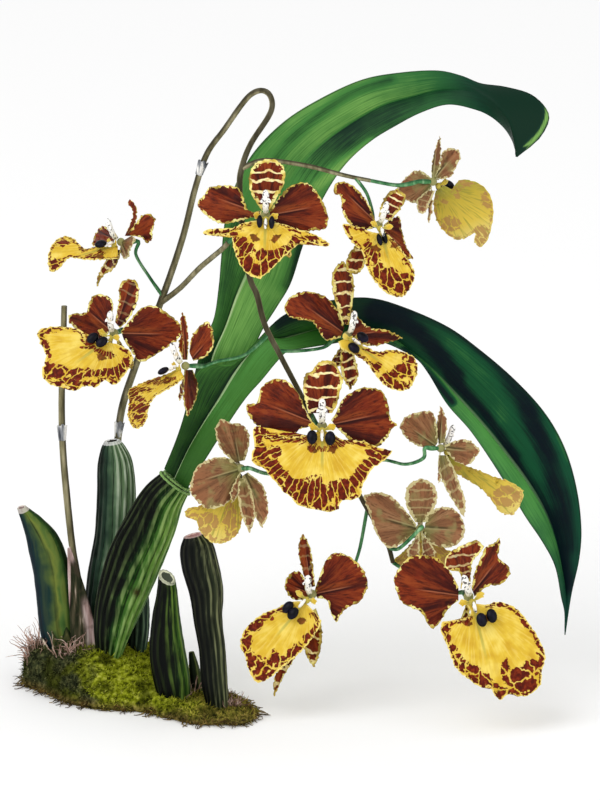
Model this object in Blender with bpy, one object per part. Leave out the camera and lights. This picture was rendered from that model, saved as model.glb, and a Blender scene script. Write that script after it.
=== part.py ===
# A flowering oncidium orchid on its clump of moss: ribbed pseudobulbs, two strap leaves,
# an arching flower stem with its branches, and thirteen brown and yellow flowers.
# Sizes are in millimetres, and MM turns them into Blender's metres.
# Places are measured as seen: across to the right, up on the viewing plane, and depth away from the viewer.
import math
import random

import bmesh
import bpy
import numpy as np
from mathutils import Matrix, Vector

MM = 0.001
VIEW_TILT = math.radians(16)      # the plant is drawn as seen from this far above level
GAP = 0.35                        # between pieces that touch
BLADE = 0.8                       # thickness of a petal or a lip
LEAF_BLADE = 0.9

# The moss clump: its outline on the ground, and its height at places along its length
CLUMP_OUTLINE = [(-46, 18), (-39, 7), (-27, -9), (-12, -17), (3, -20), (14, -30), (28, -38), (43, -37),
                 (49, -27), (44, -9), (27, 14), (8, 36), (-16, 43), (-38, 37)]
CLUMP_CENTRE = (0, 2)
CLUMP_TURN = math.radians(-28)
CLUMP_HEIGHTS = [(-56, 12), (-34, 16.5), (-12, 18.5), (6, 12), (20, 6.5), (34, 5.2), (58, 4.6)]
CLUMP_RINGS = (0.35, 0.64, 0.86, 0.97)
CLUMP_SIDES = 24
MOSS_LUMP = 0.9

# Pseudobulbs, foot first: each station is across, up and half width
BULBS = {
    "pseudobulb_young": dict(depth=16, flat=0.62, ribs=6, stations=[
        (-29.6, 15, 5.6), (-30, 20, 6.6), (-31.4, 28, 7.6), (-32.6, 40, 7.6), (-34.2, 52, 7.4),
        (-37, 62, 6.8), (-41, 69.5, 4.6), (-46, 76.8, 1.6)]),
    "pseudobulb_back": dict(depth=24, flat=0.8, ribs=8, stations=[
        (-15.2, 14, 4.6), (-14.8, 21, 5.8), (-14.2, 33, 6.9), (-12.4, 48, 7.6), (-9.2, 64, 7.9),
        (-8, 80, 8), (-8.4, 93.6, 7.3), (-9.2, 100.4, 5.2), (-9.6, 103.6, 3.2)]),
    "pseudobulb_leafy": dict(depth=5, flat=0.75, ribs=9, stations=[
        (-11.2, 14, 4.8), (-10.6, 20, 5.9), (-9.2, 28.8, 8), (-6.4, 39.2, 9.9), (-0.8, 55.2, 11.2),
        (5.6, 69.2, 10.5), (10.4, 79.4, 9), (15.8, 86.6, 7)]),
    "pseudobulb_small": dict(depth=15, flat=0.8, ribs=5, stations=[
        (-0.4, 12, 3.2), (-0.2, 18, 4), (0.4, 28, 4.9), (0.8, 40, 4.4), (0.6, 47, 2.4)]),
    "pseudobulb_cut": dict(depth=-17, flat=0.78, ribs=7, stations=[
        (16, -2, 5.6), (15.6, 1.6, 6.4), (14.4, 9, 7.4), (12.8, 20, 7.2), (12.4, 32, 5.8),
        (12.8, 42, 4.3), (12.8, 49.2, 3.4)]),
    "pseudobulb_front": dict(depth=-23, flat=0.8, ribs=8, stations=[
        (33, -4, 4), (32.8, -1.2, 4.6), (31.6, 8, 5.4), (30.8, 20, 5.4), (29.2, 32, 5.8),
        (28.4, 44, 7), (26, 54, 7.5), (24.6, 61.6, 6.7), (23.6, 66, 4.2)]),
    "pseudobulb_shoot": dict(depth=-10, flat=0.8, ribs=4, stations=[
        (25.2, 0.4, 2), (24.8, 4, 2.3), (23.6, 12, 2.1), (22.4, 18.8, 1.1)]),
}
BULB_RINGS = 9
RIB_DEPTH = 0.055

# The two leaves: each row is left margin, fold and right margin (across, up), then the three depths
LEAVES = {
    "leaf_upper": [
        ((13.8, 91.1), (16.2, 88.7), (19.2, 85.3), (7.2, 8.6, 7.2)),
        ((19.6, 108.8), (23.2, 105.6), (27.2, 101.2), (7, 9.5, 7)),
        ((22.8, 126), (27.6, 122.8), (34.8, 116), (7, 10, 6.5)),
        ((27.2, 142.8), (30.8, 137.2), (45.2, 135.2), (8, 10.5, 6.5)),
        ((31.6, 152.8), (36, 149.2), (50.8, 147.6), (8, 11, 7)),
        ((33.6, 166), (40.4, 161.2), (56.8, 157.2), (8, 12, 8)),
        ((34.4, 175.2), (44.8, 171.2), (62.4, 166.8), (8, 12.5, 9)),
        ((36, 191.2), (51.2, 186), (67.2, 181.6), (9, 13.5, 10)),
        ((40, 205.2), (57.6, 199.2), (72.4, 194.8), (10, 15, 11)),
        ((47.6, 218.8), (65.2, 212.4), (79.2, 207.2), (11, 16, 12)),
        ((60, 231.2), (74.8, 222.4), (86, 216), (12, 17, 12)),
        ((74.8, 240.4), (86, 230.4), (94.8, 223.6), (13, 18, 12)),
        ((90.8, 247.6), (98, 237.2), (104, 229.2), (14, 18, 12)),
        ((106, 250.4), (110, 240.8), (114, 234.4), (14, 17, 11)),
        ((120.8, 251.2), (122.4, 243.6), (124.8, 237.6), (13, 14, 9)),
        ((130, 249.2), (132.4, 243.2), (135.6, 235.6), (12, 10, 7)),
        ((138, 246), (139.2, 241.2), (142, 232.8), (11, 6, 6)),
        ((148, 244.6), (144, 238), (147.2, 228.4), (11, 3, 5)),
        ((158.8, 241.2), (148.8, 232), (150.4, 223.6), (11, 1, 4)),
        ((165.2, 233.2), (151.2, 224.8), (151.6, 220), (9, 0, 2)),
        ((161.2, 224), (152, 219.8), (152, 218.4), (5, 0, 1)),
        ((152.4, 217), (152, 216.8), (151.8, 216.8), (0.5, 0, 0)),
    ],
    "leaf_lower": [
        ((13.4, 91.4), (15.6, 88.6), (18.8, 85.2), (3.2, 5.6, 3.2)),
        ((16.4, 104), (21.2, 100.4), (28, 96), (0.5, 5.5, 0.5)),
        ((20, 115.2), (27.6, 111.2), (37.2, 110.4), (-0.5, 5, -0.5)),
        ((22.4, 126.8), (34, 120.8), (44.4, 120.8), (-1, 4, -1)),
        ((27.6, 133.6), (40, 130.8), (50.8, 128), (-1, 3, -1)),
        ((38.8, 133.6), (46, 139.2), (56.4, 134.8), (0, 3, 0)),
        ((46.8, 141.6), (52.4, 144.8), (60.8, 139.2), (1, 4, 1)),
        ((58, 152.8), (60, 144.8), (66, 140.4), (2, 6, 1)),
        ((68, 157.2), (72, 148), (76, 142), (3, 9, 3)),
        ((80, 160), (86, 150), (89.2, 144), (4, 11, 6)),
        ((93.2, 160.8), (98, 148), (100, 142.8), (5, 12, 8)),
        ((106, 157.6), (110.8, 139.2), (112, 136.8), (5, 12, 10)),
        ((124.4, 149.6), (118.8, 132.4), (117.2, 130.8), (4, 11, 9)),
        ((138, 140), (129.2, 121.2), (124.8, 118.4), (3, 10, 7)),
        ((152, 128), (139.6, 109.6), (134, 108), (2, 9, 5)),
        ((164, 114.8), (148.8, 98), (142.4, 96), (1, 8, 3)),
        ((172, 100.8), (156.4, 88), (149.2, 85.2), (0, 7, 1)),
        ((176.8, 84.8), (163.2, 77.2), (156.4, 73.2), (-1, 5, -1)),
        ((178.8, 68.8), (168, 66), (163.2, 63.2), (-2, 3, -3)),
        ((178, 56), (170.8, 54), (168.4, 53.2), (-3, 0, -4)),
        ((175.2, 43.2), (172.8, 41.6), (170.8, 40.8), (-4, -3, -5)),
        ((173.8, 34.8), (173, 34.6), (172.2, 34.4), (-5, -4.5, -5)),
        ((172.6, 25.8), (172.4, 25.6), (172.2, 25.8), (-6, -6, -6)),
    ],
}
LEAF_ROWS = 23

# Stems: each point is across, up and depth, with the radius there
STEMS = {
    "main": [
        (-9.2, 15, 34, 1.5), (-8.8, 40, 34, 1.5), (-8, 72, 33, 1.5), (-6.8, 110, 31, 1.5),
        (0, 134, 27, 1.45), (10, 158.8, 22, 1.4), (18.8, 184, 17, 1.3), (24, 204, 14, 1.25),
        (28.8, 218, 11, 1.2), (36, 228, 8, 1.15), (43.2, 238, 4, 1.15), (47, 241.8, 2, 1.15),
        (50.8, 243, 0, 1.15), (53.8, 241.4, -2, 1.15), (55, 237.4, -4, 1.15), (53.4, 232.4, -6, 1.15),
        (46.4, 221.6, -8.5, 1.15), (42.8, 212, -9, 1.2), (42, 204, -8, 1.2), (43.2, 188, -7, 1.2),
        (46, 168.8, -9, 1.2), (48.8, 162, -10, 1.2), (52, 150, -11, 1.15), (58, 138, -12, 1.1),
        (66, 122.8, -13, 1.05), (76, 104, -15, 1), (84, 92, -16, 1), (88.8, 84, -17, 0.95),
        (92, 78, -17, 0.95), (98, 68, -18, 0.95), (101.2, 62, -18, 0.95), (103.2, 55, -18, 0.9)],
    "side": [
        (10, 158.8, 22, 1.2), (18, 164.8, 15, 1.1), (26, 172.8, 6, 1.1), (34.8, 180, -5, 1.05),
        (37.6, 182.8, -9, 1)],
    "upper": [
        (42.8, 212, -9, 1.1), (50, 215, -9.5, 0.95), (58, 214.8, -10, 0.9), (70, 212.8, -10, 0.9),
        (84, 209.2, -9, 0.85), (94, 207.2, -8, 0.8)],
}
OLD_STALK = [(-18.6, 16, 16, 1.25), (-20, 28, 16, 1.25), (-22, 40, 16, 1.25), (-24, 52, 15.4, 1.3),
             (-25.6, 61, 15, 1.4), (-27.6, 80, 15, 1.45), (-29.2, 100, 15, 1.4), (-29.6, 120, 15, 1.35),
             (-28.8, 144, 15, 1.25), (-28.4, 157.6, 15, 1.2)]
BRACT_RADIUS = 1.9
MAIN_BRACTS_AT = (0.206, 0.459)
MAIN_POINTS = 42
OLD_POINTS = 16
OLD_BRACT_AT = 10
STEM_SIDES = 5
STALK_SIDES = 4

# Flower organs: each is a fan that opens from the middle of the flower, with its face to the front.
# tip is where its middle line ends: right, up and nearer than the middle of the flower, as seen;
# outline is its reach from margin to margin as shares of that length; waist is how narrow its foot is.
ORGANS = {
    "dorsal": dict(tip=(0, 24, 2), spread=23, outline=(0.6, 0.86, 1, 0.86, 0.6), waist=0.5, bend=0.04,
                   cup=-0.12, ruffle=0.5, twist=0, rows=2, columns=4),
    "petal_left": dict(tip=(-26, 8, -2), spread=36, outline=(0.58, 0.92, 1, 0.94, 0.58), waist=0.5,
                       bend=-0.04, cup=-0.04, ruffle=0.9, twist=0, rows=2, columns=6),
    "petal_right": dict(tip=(26, 8, -2), spread=36, outline=(0.58, 0.94, 1, 0.92, 0.58), waist=0.5,
                        bend=-0.04, cup=-0.04, ruffle=0.9, twist=0, rows=2, columns=6),
    "sepal_left": dict(tip=(-10, -17, -5), spread=14, outline=(0.72, 1, 0.72), waist=0.6, bend=-0.05,
                       cup=0.1, ruffle=0.3, twist=0, rows=2, columns=2),
    "sepal_right": dict(tip=(10, -17, -5), spread=14, outline=(0.72, 1, 0.72), waist=0.6, bend=-0.05,
                        cup=0.1, ruffle=0.3, twist=0, rows=2, columns=2),
    "lip": dict(tip=(0, -26, 5), spread=88, outline=(0.5, 0.95, 0.9, 1, 1, 1, 0.9, 0.95, 0.5), waist=0.7,
                bend=-0.1, cup=0.13, ruffle=1.2, twist=0, rows=2, columns=10),
}
SIDE_LOBE = dict(length=6.6, turn=66, lean=8, spread=24, outline=(0.7, 1, 0.8), waist=1, bend=0.1, cup=0,
                 ruffle=0, twist=0, rows=1, columns=2)
HUB = 2.2
CLAW = 0.9
LIP_FOOT = (0, -1.9, 3.4)
LIP_KNOT = 1.7
COLUMN = [(0, 1.5, 2.4, 1.2), (0, 3.6, 4.2, 1.35), (0, 8.6, 6.6, 1.6), (0, 10.6, 7, 0.9)]
# The callus starts on the column and lies along the lip: across, along and above it
CALLUS_ROOT = (0.3, 3, 4, 0.8)
CALLUS = [(1.6, 1.6, 2.7, 0.9), (3, 4.2, 2.9, 1.6), (3.6, 6.4, 2.9, 0.8)]

# Flowers: place, how each faces (yaw to the right, pitch up, roll clockwise, as seen), size, and the stalk
# from its stem; what follows sets an organ of one flower apart from the rest
FLOWERS = {
    "flower_01": dict(
        place=(52.4, 193.2, -20), yaw=0, pitch=0, roll=0, size=0.92,
        stalk=[(37.6, 182.8, -9, 1), (43, 188, -11.5, 0.8)],
        dorsal=dict(tip=(0.4, 22.4, 2), spread=28),
        petal_left=dict(tip=(-25.2, 9, -2), spread=33, outline=(0.56, 0.9, 1, 0.9, 0.55)),
        petal_right=dict(tip=(25, 4.6, -2), spread=38, outline=(0.57, 0.88, 0.94, 1, 0.6)),
        lip=dict(tip=(-1, -23, 5), rows=3, outline=(0.4, 1.08, 0.7, 0.76, 1, 0.98, 0.76, 0.8, 1.02))),
    "flower_02": dict(
        place=(-5.6, 183.2, 14), yaw=-65, pitch=0, roll=4, size=0.85,
        stalk=[(11.5, 161, 21, 0.9), (6, 168.8, 21, 0.7), (0.4, 178, 17, 0.7)],
        dorsal=dict(tip=(3.6, 16.8, -3), spread=16, twist=40),
        petal_left=dict(tip=(-10, 4.4, -9), spread=34, twist=-30),
        petal_right=dict(tip=(12.8, 4, 8), spread=30, twist=30),
        sepal_left=dict(tip=(-9, -17, -1), spread=12), sepal_right=dict(tip=(2, -8, 10), spread=16),
        lip=dict(tip=(-28, -8.2, 7), spread=34, outline=(0.8, 0.95, 1, 0.98, 0.85), waist=0.5, cup=0)),
    "flower_03": dict(
        place=(-8.4, 146.8, 6), yaw=-28, pitch=-8, roll=16, size=0.92,
        stalk=[(2.4, 140, 26, 0.9), (0, 144, 20, 0.7)],
        dorsal=dict(tip=(6.8, 20.8, -1), spread=24),
        petal_left=dict(tip=(-13.6, 11.4, -9), spread=46, outline=(0.65, 1.05, 0.84, 1, 0.75)),
        petal_right=dict(tip=(26.4, -0.5, 3), spread=42, outline=(0.62, 0.88, 1, 0.8, 0.55)),
        sepal_left=dict(tip=(-6, -15, -9)), sepal_right=dict(tip=(7, -15, -6)),
        lip=dict(tip=(-24.3, -18.3, 5), spread=75, cup=0.06,
                 outline=(0.42, 0.6, 0.56, 0.72, 1, 1.03, 0.97, 0.7, 0.35))),
    "flower_04": dict(
        place=(20.4, 133.6, -22), yaw=-70, pitch=0, roll=6, size=0.85,
        stalk=[(53.6, 146, -11, 0.8), (44, 138, -18, 0.7), (33, 135.4, -22, 0.7)],
        dorsal=dict(tip=(-1.2, 21.6, -2), spread=14, twist=40),
        petal_left=dict(tip=(3, 10, -12), spread=34),
        petal_right=dict(tip=(10.4, 12, 8), spread=42, twist=20),
        sepal_left=dict(tip=(-3, -14, -6), spread=12),
        sepal_right=dict(tip=(0.4, -19.6, 4), spread=12, twist=30),
        lip=dict(tip=(-21, -11.5, 8), spread=30, outline=(0.8, 0.95, 1, 0.95, 0.8), bend=-0.4, cup=0)),
    "flower_05": dict(
        place=(97.2, 189.6, -14), yaw=18, pitch=0, roll=10, size=0.85,
        stalk=[(88, 208.4, -8.8, 0.8), (92.6, 202, -6, 0.7), (95, 194, -5, 0.7)],
        dorsal=dict(tip=(6.8, 13.4, 2), spread=30, outline=(0.7, 0.95, 1, 0.9, 0.7)),
        petal_left=dict(tip=(-16.6, 16, 2), spread=36, outline=(0.62, 0.86, 1, 0.76, 0.5)),
        petal_right=dict(tip=(13.4, -12.2, -3), spread=36, outline=(0.6, 0.82, 1, 0.9, 0.5)),
        sepal_left=dict(tip=(-6.4, -24, -5)), sepal_right=dict(tip=(4, -18, -8)),
        lip=dict(tip=(6.5, -24, 5), spread=84,
                 outline=(0.25, 0.32, 0.5, 0.95, 1.04, 0.82, 0.66, 0.56, 0.56))),
    "flower_06": dict(
        place=(118.8, 206.8, -8), yaw=130, pitch=0, roll=0, size=0.85,
        stalk=[(94, 207.2, -8, 0.8), (104, 205.4, -10, 0.8), (110, 206, -11, 1)],
        dorsal=dict(tip=(2, 18.4, 2), spread=12, twist=20),
        petal_left=dict(tip=(9, 11, 8), spread=34, outline=(0.7, 0.9, 1, 0.9, 0.6)),
        petal_right=dict(tip=(-12.8, -0.8, -12), spread=40, outline=(0.7, 0.95, 1, 0.95, 0.7)),
        sepal_left=dict(tip=(-1, -16.8, 2), spread=8), sepal_right=dict(tip=(-4.8, -12.8, 0), spread=14),
        lip=dict(tip=(18, -18, -9), spread=50, cup=0.05, outline=(0.55, 0.87, 1.05, 0.92, 0.5))),
    "flower_07": dict(
        place=(84.8, 145.6, -16), yaw=32, pitch=0, roll=-4, size=0.9,
        stalk=[(57, 139.5, -12, 0.8), (66, 139.6, -9, 0.7), (76, 141.2, -8, 0.7)],
        dorsal=dict(tip=(-1.8, 27.6, 1), spread=17),
        petal_left=dict(tip=(-20.6, 14.6, 9), spread=36, outline=(0.42, 0.74, 1, 1, 0.6)),
        petal_right=dict(tip=(17, 2.4, -8), spread=44, outline=(0.75, 0.66, 0.85, 1, 0.6)),
        sepal_left=dict(tip=(-5, -14, -7)), sepal_right=dict(tip=(2.8, -21.6, -3), spread=16),
        lip=dict(tip=(22.5, -17.5, 2), spread=60, cup=0.04,
                 outline=(0.2, 0.36, 0.83, 1, 1.03, 0.85, 0.46, 0.25, 0.22))),
    "flower_08": dict(
        place=(74.8, 109.6, -28), yaw=0, pitch=0, roll=0, size=1,
        stalk=[(70.5, 114.5, -14, 0.8), (73, 110, -16, 0.8)],
        dorsal=dict(tip=(0, 26, 2), spread=24),
        petal_left=dict(tip=(-27, 10.8, -2), outline=(0.55, 0.93, 1.04, 1, 0.62)),
        petal_right=dict(tip=(28.4, 6, -2), outline=(0.56, 0.98, 1.02, 0.96, 0.5)),
        lip=dict(tip=(0, -29, 5), rows=3, outline=(0.42, 0.98, 0.88, 1, 1.07, 1, 0.97, 1, 0.9))),
    "flower_09": dict(
        place=(42.4, 92.8, -29), yaw=-150, pitch=0, roll=0, size=0.85,
        stalk=[(84, 92, -16, 0.8), (66, 93, -15, 0.7), (54, 90.6, -20, 0.8)],
        dorsal=dict(tip=(-3.2, 16.8, -3), spread=30, outline=(0.75, 0.95, 1, 0.95, 0.8)),
        petal_left=dict(tip=(9.4, -20, -4), spread=20, twist=30),
        petal_right=dict(tip=(-19.6, -6, 8), spread=42, outline=(0.55, 0.88, 1, 0.98, 0.75)),
        sepal_left=dict(tip=(3.4, -25, 2), spread=14), sepal_right=dict(tip=(-4, -14, 4)),
        lip=dict(tip=(-12, -25.5, -3), spread=34, waist=0.5, outline=(0.93, 0.97, 1, 0.95, 0.85))),
    "flower_10": dict(
        place=(122, 100.8, -32), yaw=125, pitch=0, roll=0, size=0.85,
        stalk=[(84, 92, -16, 0.8), (98, 96, -18, 0.7), (108, 94.4, -26, 0.7), (115, 96.8, -32, 0.8)],
        dorsal=dict(tip=(1, 17.4, 0), spread=15, twist=20),
        petal_left=dict(tip=(14.8, -1.5, 12), spread=32),
        petal_right=dict(tip=(-15, 10.5, -10), spread=38, outline=(0.8, 0.95, 1, 0.82, 0.5)),
        sepal_left=dict(tip=(9.2, -28, 10), spread=9), sepal_right=dict(tip=(0, -14, -3)),
        lip=dict(tip=(30, -19.6, -6), spread=20, waist=0.35, cup=0, outline=(0.93, 1.02, 1.06, 1.03, 0.9))),
    "flower_11": dict(
        place=(114, 68.8, -24), yaw=180, pitch=0, roll=0, size=0.85,
        stalk=[(102, 60.6, -18, 0.8), (106, 61, -25, 0.8)],
        dorsal=dict(tip=(0, 19.6, 2), spread=30, outline=(0.72, 0.92, 1, 0.92, 0.72)),
        petal_left=dict(tip=(18, -1, 3), spread=44, outline=(0.6, 0.86, 1, 0.95, 0.65)),
        petal_right=dict(tip=(-20, 6, 3), spread=42, outline=(0.62, 1.05, 0.98, 0.78, 0.62)),
        sepal_left=dict(tip=(5, -14, 3)), sepal_right=dict(tip=(-4, -14, 3)),
        lip=dict(tip=(2, -15, -17), spread=40, cup=0.05)),
    "flower_12": dict(
        place=(70.8, 42.4, -26), yaw=-34, pitch=-14, roll=24, size=0.95,
        stalk=[(92.8, 76, -17, 0.8), (89.2, 58, -14, 0.7), (83, 44, -14, 0.7)],
        dorsal=dict(tip=(-3.6, 24.4, -2), spread=15),
        petal_left=dict(tip=(-9.6, 3.8, -6), spread=44, outline=(0.75, 0.95, 1, 0.95, 0.75)),
        petal_right=dict(tip=(21.5, 4.6, 9), spread=58, outline=(0.8, 1, 1, 0.8, 0.72)),
        sepal_left=dict(tip=(-14.5, -38, -15), spread=8), sepal_right=dict(tip=(1.4, -29.2, -7), spread=11),
        lip=dict(tip=(-23, -27.5, -1), spread=62, cup=0.05,
                 outline=(0.3, 0.5, 0.68, 0.95, 1.06, 0.93, 0.78, 0.5, 0.32))),
    "flower_13": dict(
        place=(133.2, 41.6, -37), yaw=14, pitch=-10, roll=-24, size=1,
        stalk=[(103.2, 55, -18, 0.8), (114, 48, -19, 0.7), (124, 43, -23, 0.7)],
        dorsal=dict(tip=(-3, 21.4, 1), spread=28, outline=(0.8, 0.86, 1, 0.8, 0.6)),
        petal_left=dict(tip=(-28.6, 4, -1), spread=50, outline=(0.62, 0.84, 1.04, 1, 0.62)),
        petal_right=dict(tip=(14.2, 18, -4), spread=34, outline=(0.72, 0.95, 1.05, 0.86, 0.56)),
        sepal_left=dict(tip=(-3, -24, -8)), sepal_right=dict(tip=(11, -20, -8)),
        lip=dict(tip=(10.7, -42.7, 3), spread=60, waist=0.5, cup=0.03, bend=-0.05,
                 outline=(0.38, 0.73, 0.93, 1, 0.97, 0.74, 0.6, 0.43, 0.33))),
}

# Colours, roughness
FINISHES = {
    "moss": ((0.16, 0.19, 0.02, 1), 0.95),
    "bulb": ((0.02, 0.07, 0.02, 1), 0.45),
    "leaf": ((0.03, 0.18, 0.05, 1), 0.35),
    "sheath": ((0.35, 0.22, 0.2, 1), 0.8),
    "stem": ((0.16, 0.15, 0.06, 1), 0.6),
    "sepal": ((0.24, 0.04, 0.01, 1), 0.5),
    "lip": ((0.75, 0.48, 0.06, 1), 0.5),
    "column": ((0.85, 0.82, 0.72, 1), 0.4),
}


def material(name):
    found = bpy.data.materials.get(name)
    if found:
        return found
    colour, roughness = FINISHES[name]
    made = bpy.data.materials.new(name)
    made.use_nodes = True
    shader = made.node_tree.nodes["Principled BSDF"]
    shader.inputs["Base Color"].default_value = colour
    shader.inputs["Roughness"].default_value = roughness
    shader.inputs["Metallic"].default_value = 0
    return made


def seen(across, up, depth):
    """The place, in the plant's own axes, of a point measured on the viewing plane."""
    height = (up - depth * math.sin(VIEW_TILT)) / math.cos(VIEW_TILT)
    return Vector((across, depth, height))


def smooth(knots, count, closed=False):
    """So many points, evenly spaced by knot, on the smooth curve through the knots."""
    knots = np.array(knots, float)
    spans = len(knots) if closed else len(knots) - 1
    points = []
    for step in range(count):
        at = step * spans / (count if closed else count - 1)
        span = min(int(at), spans - 1)
        t = at - span
        near = [span - 1, span, span + 1, span + 2]
        if closed:
            p0, p1, p2, p3 = (knots[i % len(knots)] for i in near)
        else:
            p1, p2 = knots[span], knots[span + 1]
            p0 = knots[span - 1] if span else 2 * p1 - p2
            p3 = knots[span + 2] if span + 2 < len(knots) else 2 * p2 - p1
        point = 0.5 * (2 * p1 + (p2 - p0) * t + (2 * p0 - 5 * p1 + 4 * p2 - p3) * t * t
                       + (3 * p1 - p0 - 3 * p2 + p3) * t ** 3)
        points.append([float(part) for part in point])
    return points


def add_object(name, points, faces, finish):
    """One closed mesh from points in millimetres, facing outwards."""
    mesh = bpy.data.meshes.new(name)
    mesh.from_pydata([Vector(p) * MM for p in points], [], faces)
    shape = bmesh.new()
    shape.from_mesh(mesh)
    bmesh.ops.recalc_face_normals(shape, faces=shape.faces)
    shape.to_mesh(mesh)
    shape.free()
    mesh.shade_smooth()
    mesh.materials.append(material(finish))
    made = bpy.data.objects.new(name, mesh)
    bpy.context.scene.collection.objects.link(made)
    return made


def loft(rings):
    """Points and faces of a closed skin over rings of equally many points."""
    sides = len(rings[0])
    points = [p for ring in rings for p in ring]
    faces = []
    for row in range(len(rings) - 1):
        for side in range(sides):
            after = (side + 1) % sides
            a, b = row * sides + side, row * sides + after
            faces.append((a, b, b + sides, a + sides))
    faces.append(tuple(reversed(range(sides))))
    faces.append(tuple(range((len(rings) - 1) * sides, len(rings) * sides)))
    return points, faces


def tube(stations, sides, extra=0.0):
    """A tube through (Vector, radius) stations, turned as little as possible from ring to ring."""
    points = [p for p, _ in stations]
    rings = []
    side = None
    for i, (point, radius) in enumerate(stations):
        tangent = (points[min(i + 1, len(points) - 1)] - points[max(i - 1, 0)]).normalized()
        if side is None:
            side = tangent.orthogonal().normalized()
        side = (side - tangent * side.dot(tangent)).normalized()
        other = tangent.cross(side)
        rings.append([
            point + (radius + extra) * (side * math.cos(a) + other * math.sin(a))
            for a in (2 * math.pi * k / sides for k in range(sides))])
    return loft(rings)


def blade(surface, rows, columns, thickness, push):
    """A thin closed sheet over surface(u, v), split into triangles alike on both faces."""
    front, back = [], []
    for row in range(rows + 1):
        for column in range(columns + 1):
            u, v = row / rows, 2 * column / columns - 1
            middle, out = surface(u, v), push(u, v) * (thickness / 2)
            front.append(middle + out)
            back.append(middle - out)
    wide, half = columns + 1, len(front)
    faces = []
    for row in range(rows):
        for column in range(columns):
            a = row * wide + column
            b, c, d = a + 1, a + wide, a + wide + 1
            for face in ((a, b, d), (a, d, c)) if column < columns / 2 else ((a, b, c), (b, d, c)):
                faces.append(face)
                faces.append(tuple(half + i for i in reversed(face)))
    rim = list(range(columns)) + [r * wide + columns for r in range(rows)]
    rim += [rows * wide + c for c in range(columns, 0, -1)] + [r * wide for r in range(rows, 0, -1)]
    for a, b in zip(rim, rim[1:] + rim[:1]):
        faces.append((a, half + a, half + b))
        faces.append((a, half + b, b))
    return front + back, faces


def fuse(name, shapes, finish):
    """One object from overlapping closed shapes, by one Boolean union on a collection."""
    first = add_object(name, *shapes[0], finish)
    others = bpy.data.collections.new(name + "_pieces")
    for i, shape in enumerate(shapes[1:]):
        piece = add_object(f"{name}_piece_{i}", *shape, finish)
        bpy.context.scene.collection.objects.unlink(piece)
        others.objects.link(piece)
    union = first.modifiers.new("Union", "BOOLEAN")
    union.operation = "UNION"
    union.operand_type = "COLLECTION"
    union.collection = others
    union.solver = "MANIFOLD"
    apply_modifiers(first)
    for piece in list(others.objects):
        bpy.data.objects.remove(piece)
    bpy.data.collections.remove(others)
    return first


def apply_modifiers(made):
    graph = bpy.context.evaluated_depsgraph_get()
    mesh = bpy.data.meshes.new_from_object(made.evaluated_get(graph), depsgraph=graph)
    made.modifiers.clear()
    made.data = mesh
    mesh.shade_smooth()


# The pseudobulbs and the clump that they stand in
def bulb_rings(bulb, count, sides, ribbed, extra=0.0):
    toward = seen(0, 0, 1) - seen(0, 0, 0)
    rings = []
    stations = smooth(bulb["stations"], count)
    middles = [seen(across, up, bulb["depth"]) for across, up, _ in stations]
    for i, (across, up, half) in enumerate(stations):
        tangent = (middles[min(i + 1, count - 1)] - middles[max(i - 1, 0)]).normalized()
        side = toward.cross(tangent).normalized()
        away = tangent.cross(side)
        ring = []
        for k in range(sides):
            angle = 2 * math.pi * k / sides
            swell = 1 + RIB_DEPTH * (math.cos(bulb["ribs"] * angle) - 1) if ribbed else 1
            ring.append(middles[i] + side * (half * swell + extra) * math.cos(angle)
                        + away * (half * bulb["flat"] * swell + extra) * math.sin(angle))
        rings.append(ring)
    return rings


def build_bulb(name):
    bulb = BULBS[name]
    return add_object(name, *loft(bulb_rings(bulb, BULB_RINGS, 2 * bulb["ribs"], True)), "bulb")


def hole_for_bulb(name):
    """A plain hole a little wider than the foot of a pseudobulb, open at the top of the moss."""
    bulb = BULBS[name]
    rings = bulb_rings(dict(bulb, stations=bulb["stations"][:3]), 4, 2 * bulb["ribs"], False, GAP)
    down = (sum(rings[0], Vector()) - sum(rings[1], Vector())).normalized()
    rings.insert(0, [p + down * GAP for p in rings[0]])
    return loft(rings)


def clump_height(x, y):
    """Height of the moss away from its edge, from where the point lies along the clump."""
    along = x * math.cos(CLUMP_TURN) + (y - CLUMP_CENTRE[1]) * math.sin(CLUMP_TURN)
    places = [place for place, _ in CLUMP_HEIGHTS]
    return float(np.interp(along, places, [height for _, height in CLUMP_HEIGHTS]))


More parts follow.
